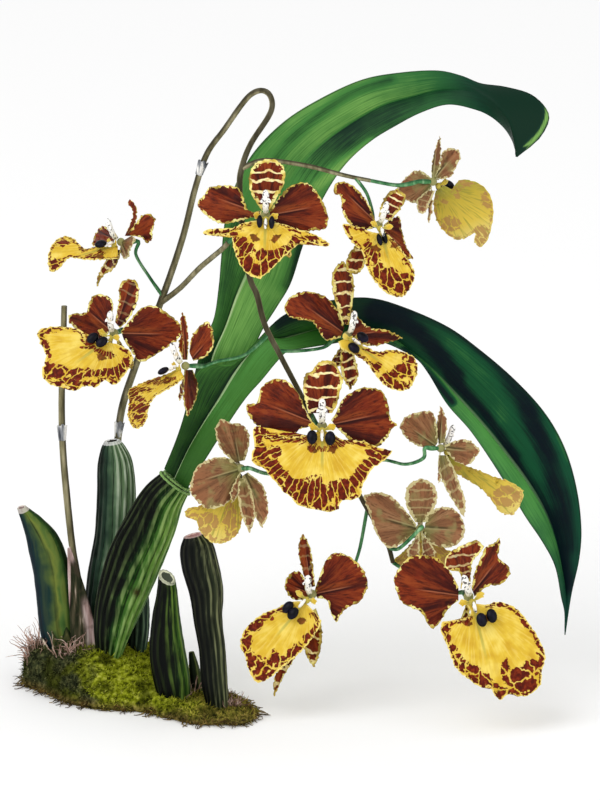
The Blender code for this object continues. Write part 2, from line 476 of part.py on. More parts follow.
def build_clump():
    draw = random.Random(4)
    centre = Vector((*CLUMP_CENTRE, 0))
    edge = [Vector((x, y, 0)) for x, y in smooth(CLUMP_OUTLINE, CLUMP_SIDES, closed=True)]
    rings = [[centre + (p - centre) * 0.96 for p in edge], [p + Vector((0, 0, 1.6)) for p in edge]]
    for share in reversed(CLUMP_RINGS):
        ring = []
        for p in edge:
            place = centre + (p - centre) * share
            place.z = clump_height(place.x, place.y) * (1 - share ** 5) ** 0.6 + 1.6
            place.z = max(1.8, place.z - 1.6) + draw.uniform(-MOSS_LUMP, MOSS_LUMP)
            ring.append(place)
        rings.append(ring)
    clump = add_object("moss_clump", *loft(rings), "moss")
    holes = bpy.data.collections.new("holes")
    shapes = [hole_for_bulb(name) for name in BULBS]
    for stem in (route(OLD_STALK, OLD_POINTS), route(STEMS["main"], MAIN_POINTS)):
        down = (stem[0][0] - stem[1][0]).normalized()
        shapes.append(tube([(stem[0][0] + down * GAP, stem[0][1])] + stem[:3], 2 * STEM_SIDES, 2 * GAP))
    shapes.append(sheath_shape(GAP))
    for i, shape in enumerate(shapes):
        hole = add_object(f"hole_{i}", *shape, "moss")
        bpy.context.scene.collection.objects.unlink(hole)
        holes.objects.link(hole)
    cut = clump.modifiers.new("Holes", "BOOLEAN")
    cut.operation = "DIFFERENCE"
    cut.operand_type = "COLLECTION"
    cut.collection = holes
    cut.solver = "MANIFOLD"
    apply_modifiers(clump)
    for hole in list(holes.objects):
        bpy.data.objects.remove(hole)
    bpy.data.collections.remove(holes)
    return clump


# The papery sheath: a strip that curls round the right of the young pseudobulb and the old stalk
SHEATH_LEFT = [(-26, 16.4), (-26.6, 30), (-27.2, 46), (-27.4, 60)]
SHEATH_RIGHT = [(-14, 16.4), (-17, 30), (-21.2, 46), (-26.6, 60.6)]
SHEATH_DEPTHS = (10.6, 12, 12.6)
SHEATH_BLADE = 0.7
SHEATH_LEAN = 0.6


def sheath_shape(extra=0.0):
    def surface(u, v):
        left = Vector(smooth(SHEATH_LEFT, 13)[round(u * 12)])
        right = Vector(smooth(SHEATH_RIGHT, 13)[round(u * 12)])
        width = (right - left).length
        share = (v * (1 + 2 * extra / width) + 1) / 2
        across, up = left.lerp(right, share)
        depth = np.interp(share, (0, 0.5, 1), SHEATH_DEPTHS)
        if u == 0:
            up -= extra
        return seen(across, up, depth + SHEATH_LEAN * u)

    def push(u, v):
        return Vector((0.15, -1, 0)).normalized()

    return blade(surface, 6, 4, SHEATH_BLADE + 2 * extra, push)


# Leaves
def leaf_rows(name):
    rows = [[c for margin in row[:3] for c in margin] + list(row[3]) for row in LEAVES[name]]
    spaced = smooth(rows, LEAF_ROWS)
    return [[seen(r[2 * i], r[2 * i + 1], r[6 + i]) for i in range(3)] for r in spaced]


def build_leaf(name):
    rows = leaf_rows(name)
    count = len(rows)

    def surface(u, v):
        left, fold, right = rows[round(u * (count - 1))]
        return fold.lerp(left if v < 0 else right, abs(v))

    def push(u, v):
        row = round(u * (count - 1))
        before, after = rows[max(row - 1, 0)], rows[min(row + 1, count - 1)]
        left, fold, right = rows[row]
        along = (after[1] - before[1]) + (after[0] - before[0]) + (after[2] - before[2])
        width = right - left
        if row == count - 1:
            width = rows[row - 1][2] - rows[row - 1][0]
        return width.cross(along).normalized()

    return add_object(name, *blade(surface, count - 1, 4, LEAF_BLADE, push), "leaf")


# Stems
def route(stations, count):
    return [(seen(*p[:3]), p[3]) for p in smooth(stations, count)]


def build_old_stalk():
    stations = route(OLD_STALK, OLD_POINTS)
    shapes = [tube(stations, STEM_SIDES)]
    shapes.append(bract(stations, OLD_BRACT_AT))
    return fuse("old_flower_stalk", shapes, "stem")


def bract(stations, at):
    """A papery scale wrapped round the stem, wider at its top."""
    low, middle, high = stations[at - 1][0], stations[at][0], stations[at + 1][0]
    reach = (high - low).normalized()
    foot, mouth = middle - reach * 3, middle + reach * 4
    stations = [(foot, BRACT_RADIUS * 0.8), (middle, BRACT_RADIUS), (mouth, BRACT_RADIUS)]
    return tube(stations, STEM_SIDES)


def build_stems():
    main = route(STEMS["main"], MAIN_POINTS)
    shapes = [tube(main, STEM_SIDES), tube(route(STEMS["side"], 7), STALK_SIDES),
              tube(route(STEMS["upper"], 8), STALK_SIDES)]
    for share in MAIN_BRACTS_AT:
        shapes.append(bract(main, round(share * (MAIN_POINTS - 1))))
    for name, flower in FLOWERS.items():
        facing = flower_axes(flower).col[2]
        heart = seen(*flower["place"])
        stations = [(seen(*p[:3]), p[3]) for p in flower["stalk"]]
        end = HUB * flower["size"] + GAP
        stations.append((heart - facing * (end + 7 * flower["size"]), 0.95 * flower["size"]))
        stations.append((heart - facing * end, 1.15 * flower["size"]))
        knots = [(*p, r) for p, r in stations]
        curve = [(Vector(p[:3]), p[3]) for p in smooth(knots, len(knots) + 2)]
        shapes.append(tube(curve, STALK_SIDES))
    return fuse("flower_stem", shapes, "stem")


# Flowers
def view_axes():
    """The viewer's right and up, and the way to the viewer, as the columns of a matrix."""
    rise, level = math.sin(VIEW_TILT), math.cos(VIEW_TILT)
    return Matrix(((1, 0, 0), (0, rise, -level), (0, level, rise)))


def flower_axes(flower):
    """The flower's right, up and facing directions, as the columns of a matrix."""
    yaw = Matrix.Rotation(math.radians(flower["yaw"]), 3, "Y")
    pitch = Matrix.Rotation(math.radians(-flower["pitch"]), 3, "X")
    roll = Matrix.Rotation(math.radians(-flower["roll"]), 3, "Z")
    return view_axes() @ yaw @ pitch @ roll


def organ_blade(organ, along, length, foot, axes):
    """A blade that fans out from its foot, with a waved outer margin."""
    front = axes.col[2]
    face = (front - along * front.dot(along)).normalized()
    face = Matrix.Rotation(math.radians(organ["twist"]), 3, along) @ face
    across = along.cross(face)
    spread = math.radians(organ["spread"])
    shares = np.linspace(-1, 1, len(organ["outline"]))

    def surface(u, v):
        reach = length * float(np.interp(v, shares, organ["outline"]))
        radius = CLAW + (reach - CLAW) * u
        opened = organ["waist"] + (1 - organ["waist"]) * min(1, 2 * u)
        ahead, aside = radius * math.cos(spread * v * opened), radius * math.sin(spread * v * opened)
        share = radius / length
        rise = length * organ["bend"] * share * share + organ["cup"] * abs(aside) * share
        rise += organ["ruffle"] * u * u * math.cos(math.pi * organ["columns"] * (v + 1) / 2)
        return foot + along * ahead + across * aside + face * rise

    def push(u, v):
        return face

    return blade(surface, organ["rows"], organ["columns"], BLADE, push)


def organ_of(flower, name, foot, axes):
    """One organ of a flower, from the rule for its kind and what sets it apart in this flower."""
    organ = dict(ORGANS[name], **flower.get(name, {}))
    reach = view_axes() @ Vector(organ["tip"])
    return organ_blade(organ, reach.normalized(), reach.length, foot, axes)


def side_lobe(foot, axes, size, mirror):
    turn, lean = math.radians(SIDE_LOBE["turn"] * mirror), math.radians(SIDE_LOBE["lean"])
    along = Vector((math.sin(turn) * math.cos(lean), math.cos(turn) * math.cos(lean), math.sin(lean)))
    return organ_blade(SIDE_LOBE, axes @ along, SIDE_LOBE["length"] * size, foot, axes)


def ball(place, radius, rings, sides):
    stations = []
    for i in range(rings):
        angle = math.pi * (0.08 + 0.84 * i / (rings - 1))
        stations.append((place - Vector((0, 0, radius * math.cos(angle))), radius * math.sin(angle)))
    return tube(stations, sides)


def build_flower(name):
    flower = FLOWERS[name]
    axes, heart, size = flower_axes(flower), seen(*flower["place"]), flower["size"]
    shapes = [ball(heart, HUB * size, 3, 5)]
    for organ in ("dorsal", "petal_left", "petal_right", "sepal_left", "sepal_right"):
        shapes.append(organ_of(flower, organ, heart, axes))
    fuse(name + "_petals", shapes, "sepal")

    foot = heart + axes @ (Vector(LIP_FOOT) * size)
    shapes = [ball(foot, LIP_KNOT * size, 3, 5), organ_of(flower, "lip", foot, axes)]
    for mirror in (-1, 1):
        shapes.append(side_lobe(foot, axes, size, mirror))
    fuse(name + "_lip", shapes, "lip")

    along = (view_axes() @ Vector(flower["lip"]["tip"])).normalized()
    above = (axes.col[2] - along * axes.col[2].dot(along)).normalized()
    across = above.cross(along)

    def on_flower(x, y, z, radius):
        return heart + axes @ (Vector((x, y, z)) * size), radius * size

    def on_lip(x, y, z, radius):
        return foot + (across * x + along * y + above * z) * size, radius * size

    shapes = [tube([on_flower(*station) for station in COLUMN], 5)]
    for mirror in (-1, 1):
        x, *rest = CALLUS_ROOT
        stations = [on_flower(x * mirror, *rest)]
        stations += [on_lip(x * mirror, *rest) for x, *rest in CALLUS]
        shapes.append(tube(stations, 4))
    fuse(name + "_column", shapes, "column")


def build():
    for old in list(bpy.data.objects):
        bpy.data.objects.remove(old)
    build_clump()
    for name in BULBS:
        build_bulb(name)
    add_object("papery_sheath", *sheath_shape(), "sheath")
    for name in LEAVES:
        build_leaf(name)
    build_old_stalk()
    build_stems()
    for name in FLOWERS:
        build_flower(name)


build()
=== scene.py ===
# Looks for a flowering oncidium orchid on its clump of moss, dressed over the CAD frame.
# Lengths are in millimetres until a mesh is made. A spot in the picture is (column, row).
import math
import random
from functools import partial
from math import cos, pi, radians, sin
from types import SimpleNamespace

import bmesh
import bpy
import numpy as np
from numpy.linalg import norm
from mathutils import Matrix, Vector, noise
from mathutils.bvhtree import BVHTree


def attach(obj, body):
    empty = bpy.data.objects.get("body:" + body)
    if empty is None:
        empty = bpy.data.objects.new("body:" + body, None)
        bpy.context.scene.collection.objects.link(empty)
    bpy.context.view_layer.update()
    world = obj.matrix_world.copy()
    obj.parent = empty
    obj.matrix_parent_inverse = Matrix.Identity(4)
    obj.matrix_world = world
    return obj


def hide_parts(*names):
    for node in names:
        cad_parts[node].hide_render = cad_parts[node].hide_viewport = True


print("loading the frame")
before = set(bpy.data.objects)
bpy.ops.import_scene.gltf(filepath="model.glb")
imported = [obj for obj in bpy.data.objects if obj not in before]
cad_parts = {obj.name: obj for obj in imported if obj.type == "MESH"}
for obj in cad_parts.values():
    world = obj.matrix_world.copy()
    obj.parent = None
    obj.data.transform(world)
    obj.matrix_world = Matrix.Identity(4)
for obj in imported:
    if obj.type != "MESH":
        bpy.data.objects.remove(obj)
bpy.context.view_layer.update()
scene = bpy.context.scene

picture = dict(mmPerPixel=0.4, zeroColumn=135, zeroRow=700, lookDown=16)
lookDown = radians(picture["lookDown"])
rise, level = sin(lookDown), cos(lookDown)
viewAxes = Matrix(((1, 0, 0), (0, rise, -level), (0, level, rise)))   # right, up, towards the viewer


def onPlane(spot):
    # millimetres across and up on the viewing plane
    column, row = spot
    return ((column - picture["zeroColumn"]) * picture["mmPerPixel"],
        (picture["zeroRow"] - row) * picture["mmPerPixel"])


def seen(across, up, depth):
    return Vector((across, depth, (up - depth * rise) / level))


def distances(line):
    # how far along the line each of its points lies
    return np.concatenate([[0], np.cumsum(norm(np.diff(line, axis=0), axis=1))])


def curveThrough(knots, count):
    # smooth curve through the knots, as points evenly spaced along it
    knots = np.array(knots, float)
    if len(knots) == 2:
        return knots[0] + (knots[1] - knots[0]) * np.linspace(0, 1, count)[:, None]
    ends = np.vstack([2 * knots[:1] - knots[1:2], knots, 2 * knots[-1:] - knots[-2:-1]])
    fine = []
    for i in range(len(knots) - 1):
        p0, p1, p2, p3 = ends[i:i + 4]
        for t in np.linspace(0, 1, 10, endpoint=False):
            second, third = 2 * p0 - 5 * p1 + 4 * p2 - p3, 3 * p1 - p0 - 3 * p2 + p3
            fine.append(0.5 * (2 * p1 + (p2 - p0) * t + second * t * t + third * t ** 3))
    fine = np.array(fine + [knots[-1]])
    gone = distances(fine[:, :3])
    wanted = np.linspace(0, gone[-1], count)
    return np.stack([np.interp(wanted, gone, fine[:, k]) for k in range(fine.shape[1])], 1)


def newObject(name, data):
    made = bpy.data.objects.new(name, data)
    scene.collection.objects.link(made)
    return made


# A heap gathers the parts of one piece: points in mm, faces, and marks that its material reads
def newHeap(marks):
    return dict(points=[], faces=[], marks={name: [] for name in marks})


def heapUp(heap, points, faces, **marks):
    start = len(heap["points"])
    heap["points"] += [tuple(p) for p in points]
    heap["faces"] += [tuple(start + i for i in face) for face in faces]
    for name, values in heap["marks"].items():
        given = marks.get(name, 0.0)
        values += [float(v) for v in given] if hasattr(given, "__len__") else [float(given)] * len(points)


def makePiece(name, heap, finish, sharp=None):
    # a mesh object from a heap, its normals outward
    mesh = bpy.data.meshes.new(name)
    mesh.from_pydata([Vector(p) * 0.001 for p in heap["points"]], [], heap["faces"])
    shape = bmesh.new()
    shape.from_mesh(mesh)
    bmesh.ops.recalc_face_normals(shape, faces=shape.faces)
    shape.to_mesh(mesh)
    shape.free()
    mesh.shade_smooth()
    if sharp:
        mesh.set_sharp_from_angle(angle=radians(sharp))
    for mark, values in heap["marks"].items():
        mesh.attributes.new(mark, "FLOAT", "POINT").data.foreach_set("value", values)
    mesh.materials.append(finish)
    return newObject(name, mesh)


def declare(piece, slot, *nodes):
    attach(piece, "root")
    if nodes:
        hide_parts(*nodes)


def gridSheet(middle, normals, thickness):
    # a closed thin sheet on a grid of points: its front, its back and the rim between them
    rows, columns = middle.shape[:2]
    half = normals * (np.asarray(thickness)[..., None] / 2)
    points = np.concatenate([(middle + half).reshape(-1, 3), (middle - half).reshape(-1, 3)])
    back = rows * columns
    faces = []
    for r in range(rows - 1):
        for c in range(columns - 1):
            a = r * columns + c
            quad = (a, a + 1, a + columns + 1, a + columns)
            faces.append(quad)
            faces.append(tuple(back + i for i in reversed(quad)))
    rim = list(range(columns)) + [r * columns + columns - 1 for r in range(1, rows)]
    rim += [(rows - 1) * columns + c for c in range(columns - 2, -1, -1)]
    rim += [r * columns for r in range(rows - 2, 0, -1)]
    for a, b in zip(rim, rim[1:] + rim[:1]):
        faces.append((b, a, back + a, back + b))
    return points, faces


def gridNormals(middle, front):
    along, across = np.gradient(middle, axis=0), np.gradient(middle, axis=1)
    normals = np.cross(along, across)
    normals /= np.maximum(norm(normals, axis=2, keepdims=True), 1e-9)
    side = np.sign((normals * np.array(front)).sum(axis=2, keepdims=True))
    side[side == 0] = 1
    return normals * side


def skin(rings):
    # a closed skin over rings of equally many points
    sides = len(rings[0])
    points = [p for ring in rings for p in ring]
    faces = []
    for row in range(len(rings) - 1):
        for side in range(sides):
            a, b = row * sides + side, row * sides + (side + 1) % sides
            faces.append((a, b, b + sides, a + sides))
    faces.append(tuple(reversed(range(sides))))
    faces.append(tuple(range((len(rings) - 1) * sides, len(rings) * sides)))
    return points, faces


def ringsAlong(stations, sides):
    # rings round a path of (Vector, radius), turned as little as possible
    places = [p for p, _ in stations]
    rings, side = [], None
    for i, (place, radius) in enumerate(stations):
        way = (places[min(i + 1, len(places) - 1)] - places[max(i - 1, 0)]).normalized()
        side = way.orthogonal().normalized() if side is None else (side - way * side.dot(way)).normalized()
        other = way.cross(side)
        rings.append([place + side * radius * cos(a) + other * radius * sin(a) for a in (
            2 * pi * k / sides for k in range(sides))])
    return rings


# Materials: colours are sRGB hex, and one function adds a node with its settings and links.
# add is that function for one tree.
def linear(code, strength=1.0):
    parts = [int(code[i:i + 2], 16) / 255 for i in (1, 3, 5)]
    return [(c / 12.92 if c <= 0.04045 else ((c + 0.055) / 1.055) ** 2.4) * strength for c in parts] + [1]


def addNode(tree, kind, given=(), ramp=None, **settings):
    # given holds numbers, colours or other nodes: in the order of the sockets, or by their names
    families = "ShaderNode", "GeometryNode", "FunctionNode", ""
    node = tree.nodes.new(next(family + kind for family in families if hasattr(bpy.types, family + kind)))
    for setting, value in settings.items():
        setattr(node, setting, value)
    if ramp:
        while len(node.color_ramp.elements) < len(ramp):
            node.color_ramp.elements.new(0.5)
        for stop, (place, code) in zip(node.color_ramp.elements, ramp):
            stop.position = place
            stop.color = linear(code)
    for name, value in (given.items() if isinstance(given, dict) else enumerate(given)):
        sockets = [s for s in node.inputs if s.enabled]
        socket = sockets[name] if isinstance(name, int) else [s for s in sockets if s.name == name][0]
        if isinstance(value, bpy.types.Node):
            value = [s for s in value.outputs if s.enabled][0]
        if isinstance(value, bpy.types.NodeSocket):
            tree.links.new(value, socket)
        else:
            socket.default_value = linear(value) if isinstance(value, str) and value[:1] == "#" else value
    return node


soft = dict(interpolation_type="SMOOTHSTEP")
times, plus, apart = dict(operation="MULTIPLY"), dict(operation="ADD"), dict(operation="SUBTRACT")


def startFinish(name, marks=(), roughness=0.5, gloss=0.3):
    # a new material: what adds its nodes, its shader and what it reads from the piece
    made = bpy.data.materials.new(name)
    made.use_nodes = True
    add = partial(addNode, made.node_tree)
    shader = made.node_tree.nodes["Principled BSDF"]
    shader.inputs["Roughness"].default_value = roughness
    shader.inputs["Specular IOR Level"].default_value = gloss
    read = SimpleNamespace(place=add("TexCoord").outputs["Object"])
    for mark in marks:
        setattr(read, mark, add("Attribute", attribute_name=mark).outputs["Fac"])
    return made, add, shader, read


def coats(add, ground, *layers):
    # colours laid one over another. A layer is a colour and its amount, or a colour, what it follows,
    # where it starts, where it is full and how thick it is there
    for colour, amount, *limits in layers:
        if limits:
            amount = add("MapRange", [amount, *limits[:2], 0.0, *(limits[2:] or [1.0])], **soft)
        ground = add("Mix", {"Factor": amount, "A": ground, "B": colour}, data_type="RGBA")
    return ground


def grain(add, read, size, detail=2.0, stretch=(1, 1, 1)):
    # soft random patches about so many millimetres wide
    place = add("Mapping", {"Vector": read.place, "Scale": stretch})
    return add("TexNoise", {"Vector": place, "Scale": 1000 / size, "Detail": detail})


def dress(shader, colour, height, depth):
    # gives the shader its colour and a fine relief, so many millimetres deep
    tree = shader.id_data
    tree.links.new([s for s in colour.outputs if s.enabled][0], shader.inputs["Base Color"])
    bump = addNode(tree, "Bump", {"Height": height, "Distance": depth * 0.001, "Strength": 0.7})
    tree.links.new(bump.outputs["Normal"], shader.inputs["Normal"])


# What the skins read from the points of their pieces
petalMarks = "tall", "spin", "radius", "edge", "back", "seed", "barred"
lipMarks = *petalMarks[:-1], "lobe", "band", "blotch", "streaks"
columnMarks, leafMarks = ("tall", "dark"), ("along", "across", "shade", "crease")
bulbMarks, stemMarks = ("aside", "ridge", "cut", "spot"), ("turn", "green", "scale")
paperMarks = "tall", "aside", "torn"


# Petal skin, smooth and a little waxy: chestnut face with dark veins and a yellow rim, tan outside; painted
# light and shade lie over each fold, with a painted shadow next to the midrib and a painted highlight on its
# other side
def petalFinish():
    made, add, shader, read = startFinish("waxyPetal", petalMarks, roughness=0.45, gloss=0.12)
    mottle = grain(add, read, 5)
    fine = grain(add, read, 1.5)
    fan = add("CombineXYZ", [add("Math", [read.spin, 11.0], **times),
        add("Math", [read.radius, 0.1], **times), read.seed])
    veins = add("TexNoise", {"Vector": fan, "Scale": 2.2, "Detail": 3.0, "Roughness": 0.65})
    dark = add("MapRange", [veins, 0.48, 0.66, 0.0, 0.7], **soft)
    paler = add("MapRange", [veins, 0.5, 0.34, 0.0, 0.55], **soft)
    aside = add("Math", [add("Math", [read.spin], operation="ABSOLUTE"), read.radius], **times)
    plain = add("Math", [add("MapRange", [read.tall, 0.8, 0.5], **soft),
        add("MapRange", [read.barred, 1.0, 0.0])], **times)
    signed = add("Math", [read.spin, read.radius], **times)
    rib = add("Math", [add("MapRange", [aside, 0.4, 0.1, 0.0, 0.55], **soft), plain], **times)
    # a painted shadow in a strip next to the midrib, on one side
    midribShadow = add("Math", [add("MapRange", [signed, 0.1, 0.5, 0.0, 0.85], **soft),
        add("MapRange", [signed, 1.6, 0.6], **soft)], **times)
    midribShadow = add("Math", [midribShadow, plain], **times)
    # a painted highlight in a strip on the other side of the midrib
    left = add("Math", [add("Math", [signed, -1.6], **apart)], operation="ABSOLUTE")
    lit = add("Math", [add("MapRange", [left, 1.8, 0.2, 0.0, 0.5], **soft), plain], **times)
    # painted light and shade of the broad fold lines that fan out from the foot
    foldShading = add("CombineXYZ", [add("Math", [read.spin, 4.0], **times), 0.0, read.seed])
    foldShading = add("TexNoise", {"Vector": foldShading, "Scale": 1.0, "Detail": 1.0})
    face = add("ValToRGB", [read.tall], ramp=[(0.05, "#240302"), (0.3, "#4a1006"), (0.62, "#6c2208"),
        (1.0, "#7a2a0c")])
    face = coats(add, face, ("#98481c", add("Math", [paler, read.tall], **times)),
        ("#8a3c18", foldShading, 0.5, 0.7, 0.55), ("#2e0604", foldShading, 0.5, 0.34, 0.85), ("#98491c", lit),
        ("#2a0504", dark), ("#742610", mottle, 0.55, 0.75, 0.5), ("#270404", midribShadow), ("#b06a48", rib))
    # bars across a sepal
    bent = add("Math", [add("Math", [mottle, 0.2], **times), read.tall], **plus)
    bars = add("MapRange", [add("Math", [bent, 0.088], operation="PINGPONG"), 0.024, 0.014], **soft)
    above = add("Math", [read.barred, add("MapRange", [read.tall, 0.12, 0.2], **soft)], **times)
    bars = add("Math", [bars, above], **times)
    face = coats(add, face, (add("ValToRGB", [fine], ramp=[(0.35, "#d9bd74"), (0.6, "#f6e8ae")]), bars))
    # rim, broken by brown teeth
    wide = add("Math", [add("MapRange", [fine, 0.36, 0.64, 0.0, 1.25]),
        add("MapRange", [read.barred, 0.0, 1.0, 0.0, 0.45])], **plus)
    rim = add("MapRange", [add("Math", [read.edge, wide], **apart), 0.08, -0.12], **soft)
    line = add("MapRange", [read.edge, 0.16, 0.05, 0.0, 0.6], **soft)
    yellow = add("ValToRGB", [mottle], ramp=[(0.36, "#8a7430"), (0.48, "#cfb550"), (0.6, "#efe48f")])
    face = coats(add, face, (yellow, rim), ("#4f3213", line))
    # the outside, with the same painted light and shade of each fold and the painted shadow next to the
    # midrib
    outer = add("ValToRGB", [read.tall], ramp=[(0.0, "#74803f"), (0.18, "#7b7340"), (0.4, "#855b3c"),
        (1.0, "#93603f")])
    outer = coats(add, outer, ("#a8825a", foldShading, 0.5, 0.7, 0.5), ("#5a3a24", foldShading, 0.5, 0.34, 0.6),
        ("#4f2e1d", dark), ("#3f3a1f", midribShadow), ("#8e8a55", mottle, 0.52, 0.72, 0.55), ("#a39a6c", rib),
        ("#c0b27c", add("Math", [bars, 0.4], **times)), ("#dcd29a", add("Math", [rim, 0.7], **times)))
    colour = coats(add, face, (outer, read.back))
    dress(shader, colour, veins, 0.25)
    return made


# Lip skin, thinner and brighter: golden, with brown blotches in a band inside its yellow rim
def lipFinish():
    made, add, shader, read = startFinish("goldenLip", lipMarks, roughness=0.5, gloss=0.1)
    mottle = grain(add, read, 6)
    fine = grain(add, read, 1.5)
    fan = add("CombineXYZ", [add("Math", [read.spin, 8.0], **times),
        add("Math", [read.radius, 0.05], **times), read.seed])
    rays = add("TexNoise", {"Vector": fan, "Scale": 2.4, "Detail": 2.0})
    turned = add("Math", [read.spin], operation="ABSOLUTE")
    aside = add("Math", [turned, read.radius], **times)
    gold = add("ValToRGB", [mottle], ramp=[(0.3, "#cda42c"), (0.5, "#dcb93a"), (0.7, "#ead062")])
    middle = add("Math", [add("MapRange", [aside, 0.9, 0.2, 0.0, 0.7], **soft),
        add("MapRange", [read.tall, 0.6, 0.35], **soft)], **times)
    gold = coats(add, gold, ("#bf942f", rays, 0.5, 0.68, 0.3), ("#eed777", rays, 0.5, 0.36, 0.3),
        ("#a8a24a", middle), ("#f1e18c", read.edge, 0.8, 0.3, 0.6))
    # brown blotches, drawn out along the rays with thin yellow lines between them
    bend = add("VectorMath", {0: grain(add, read, 2.5).outputs["Color"], "Scale": 0.7}, operation="SCALE")
    turns = add("Math", [add("Math", [read.spin, read.streaks], **times), read.seed], **plus)
    rows = add("Math", [read.radius, add("MapRange", [read.streaks, 6.0, 10.0, 0.15, 0.09])], **times)
    cellAt = add("VectorMath", [add("CombineXYZ", [turns, rows, 0.0]), bend], operation="ADD")
    cells, flatCells = {"Vector": cellAt, "Scale": 1.0, "Randomness": 0.85}, dict(voronoi_dimensions="2D")
    gap = add("TexVoronoi", cells, feature="DISTANCE_TO_EDGE", **flatCells)
    luck = add("SeparateXYZ", [add("TexVoronoi", cells, **flatCells).outputs["Color"]])
    ragged = add("Math", [add("Math", [fine, 0.4], **apart), 2.6], **times)
    spread = add("Math", [add("MapRange", [luck, 0.0, 1.0, 0.5, 1.3]), read.band], **times)
    inside = add("Math", [add("Math", [spread, read.edge], **apart), ragged], **plus)
    drawn = add("Math", [add("Math", [read.blotch, ragged], **plus), inside], operation="MAXIMUM")
    band = add("MapRange", [drawn, -0.05, 0.25], **soft)
    band = add("Math", [band, add("MapRange", [gap, 0.03, 0.08, 0.05, 1.0], **soft)], **times)
    toothed = add("Math", [read.edge, add("MapRange", [fine, 0.38, 0.62, 0.0, 0.9])], **apart)
    band = add("Math", [band, add("MapRange", [toothed, -0.05, 0.15], **soft)], **times)
    band = add("Math", [band, add("MapRange", [read.radius, 5.0, 6.0], **soft)], **times)
    # two marks under the callus
    off = add("Math", [add("Math", [add("Math", [turned, 0.5], **apart), 6.0], **times)],
        operation="ABSOLUTE")
    far = add("Math", [add("Math", [read.radius, 8.6], **apart)], operation="ABSOLUTE")
    spot = add("Math", [add("Math", [off, far], **plus), ragged], **plus)
    spots = add("MapRange", [spot, 2.2, 1.7, 0.0, 0.9], **soft)
    brown = add("ValToRGB", [fine], ramp=[(0.3, "#431005"), (0.5, "#601806"), (0.7, "#84300f")])
    whole = add("MapRange", [read.lobe, 1.0, 0.0])
    amount = add("Math", [add("Math", [band, spots], operation="MAXIMUM"), whole], **times)
    face = coats(add, gold, (brown, amount))
    outer = add("ValToRGB", [read.tall], ramp=[(0.0, "#94933c"), (0.3, "#bfa93c"), (0.75, "#d9bd4a"),
        (1.0, "#e2cd70")])
    outer = coats(add, outer, ("#8d8a38", rays, 0.5, 0.68, 0.7),
        ("#ad7f4c", add("Math", [amount, 0.8], **times)))
    colour = coats(add, face, (outer, read.back))
    dress(shader, colour, rays, 0.3)
    return made


# Column: waxy white with purple flecks, and the callus on it glossy and nearly black
def columnFinish():
    made, add, shader, read = startFinish("waxyColumn", columnMarks, roughness=0.35, gloss=0.12)
    fine = grain(add, read, 1.1)
    wax = add("ValToRGB", [read.tall], ramp=[(0.0, "#d8d2b0"), (0.35, "#f2efe6"), (1.0, "#fbfaf6")])
    wax = coats(add, wax, ("#231c26", fine, 0.565, 0.61, 0.9), ("#d6b765", grain(add, read, 3), 0.6, 0.7,
        0.5))
    jet = add("ValToRGB", [grain(add, read, 2.5)], ramp=[(0.4, "#05050b"), (0.75, "#161327")])
    dress(shader, coats(add, wax, (jet, read.dark)), fine, 0.08)
    return made


petalSkin, lipSkin, columnWax = petalFinish(), lipFinish(), columnFinish()

# Flowers. An organ that is drawn in the picture has its two margins from foot to tip, and the right one gives
# the tip for both. One that is hidden there opens as a fan from its foot. tip: right, up and nearer than the
# middle of the flower, in mm.
organKinds = dict(
    dorsal=dict(bend=0.04, cup=-0.12, ruffle=0.35, barred=1),
    petalLeft=dict(bend=-0.04, cup=-0.04, ruffle=0.8, barred=0),
    petalRight=dict(bend=-0.04, cup=-0.04, ruffle=0.8, barred=0),
    sepalLeft=dict(tip=(-10, -17, -5), spread=14, reach=(0.72, 1, 0.72), bend=-0.05, cup=0.1, ruffle=0.3,
        barred=1),
    sepalRight=dict(tip=(10, -17, -5), spread=14, reach=(0.72, 1, 0.72), bend=-0.05, cup=0.1, ruffle=0.3,
        barred=1),
    lip=dict(bend=-0.1, cup=0.13, ruffle=1.0, barred=0))
organMesh = dict(petalRows=40, petalColumns=17, lipRows=60, lipColumns=25, lobeRows=14, lobeColumns=9,
    thick=0.42, rim=0.16, toothDeep=0.38, toothWide=2.1, waveWide=7.5, waveDeep=3.2, frill=0.25,
    frillWide=2.6, frillDeep=1.2, calmFoot=0.35, deepest=3.5, blotchSoft=0.35, flattest=0.42, rimmedFrom=4.5,
    pleat=0.22, pleats=15, groove=0.5, grooveWide=0.9)
flowerBody = dict(hub=2.2, knot=1.7, lipFoot=(0, -1.9, 3.4), lobeLength=6.2, lobeTurn=66, lobeLean=8,
    lobeSpread=19)
columnShape = dict(
    axis=[(0, 1.5, 2.4, 1.2), (0, 3.6, 4.2, 1.35), (0, 6.4, 5.6, 1.3), (0, 8.6, 6.6, 1.45),
        (0, 10.2, 7, 1.15), (0, 11, 7, 0.4)],
    wing=dict(at=(1.2, 6.6, 6.2), length=3.0, width=1.5, thick=0.7, turn=0.7),
    tongue=dict(at=(0, 2.2, 2.2), size=(0.8, 2.4, 0.9)), callusAt=(3.3, 3.2, 2.5),
    callusSize=(2.15, 2.9, 1.5), rings=16, sides=16)

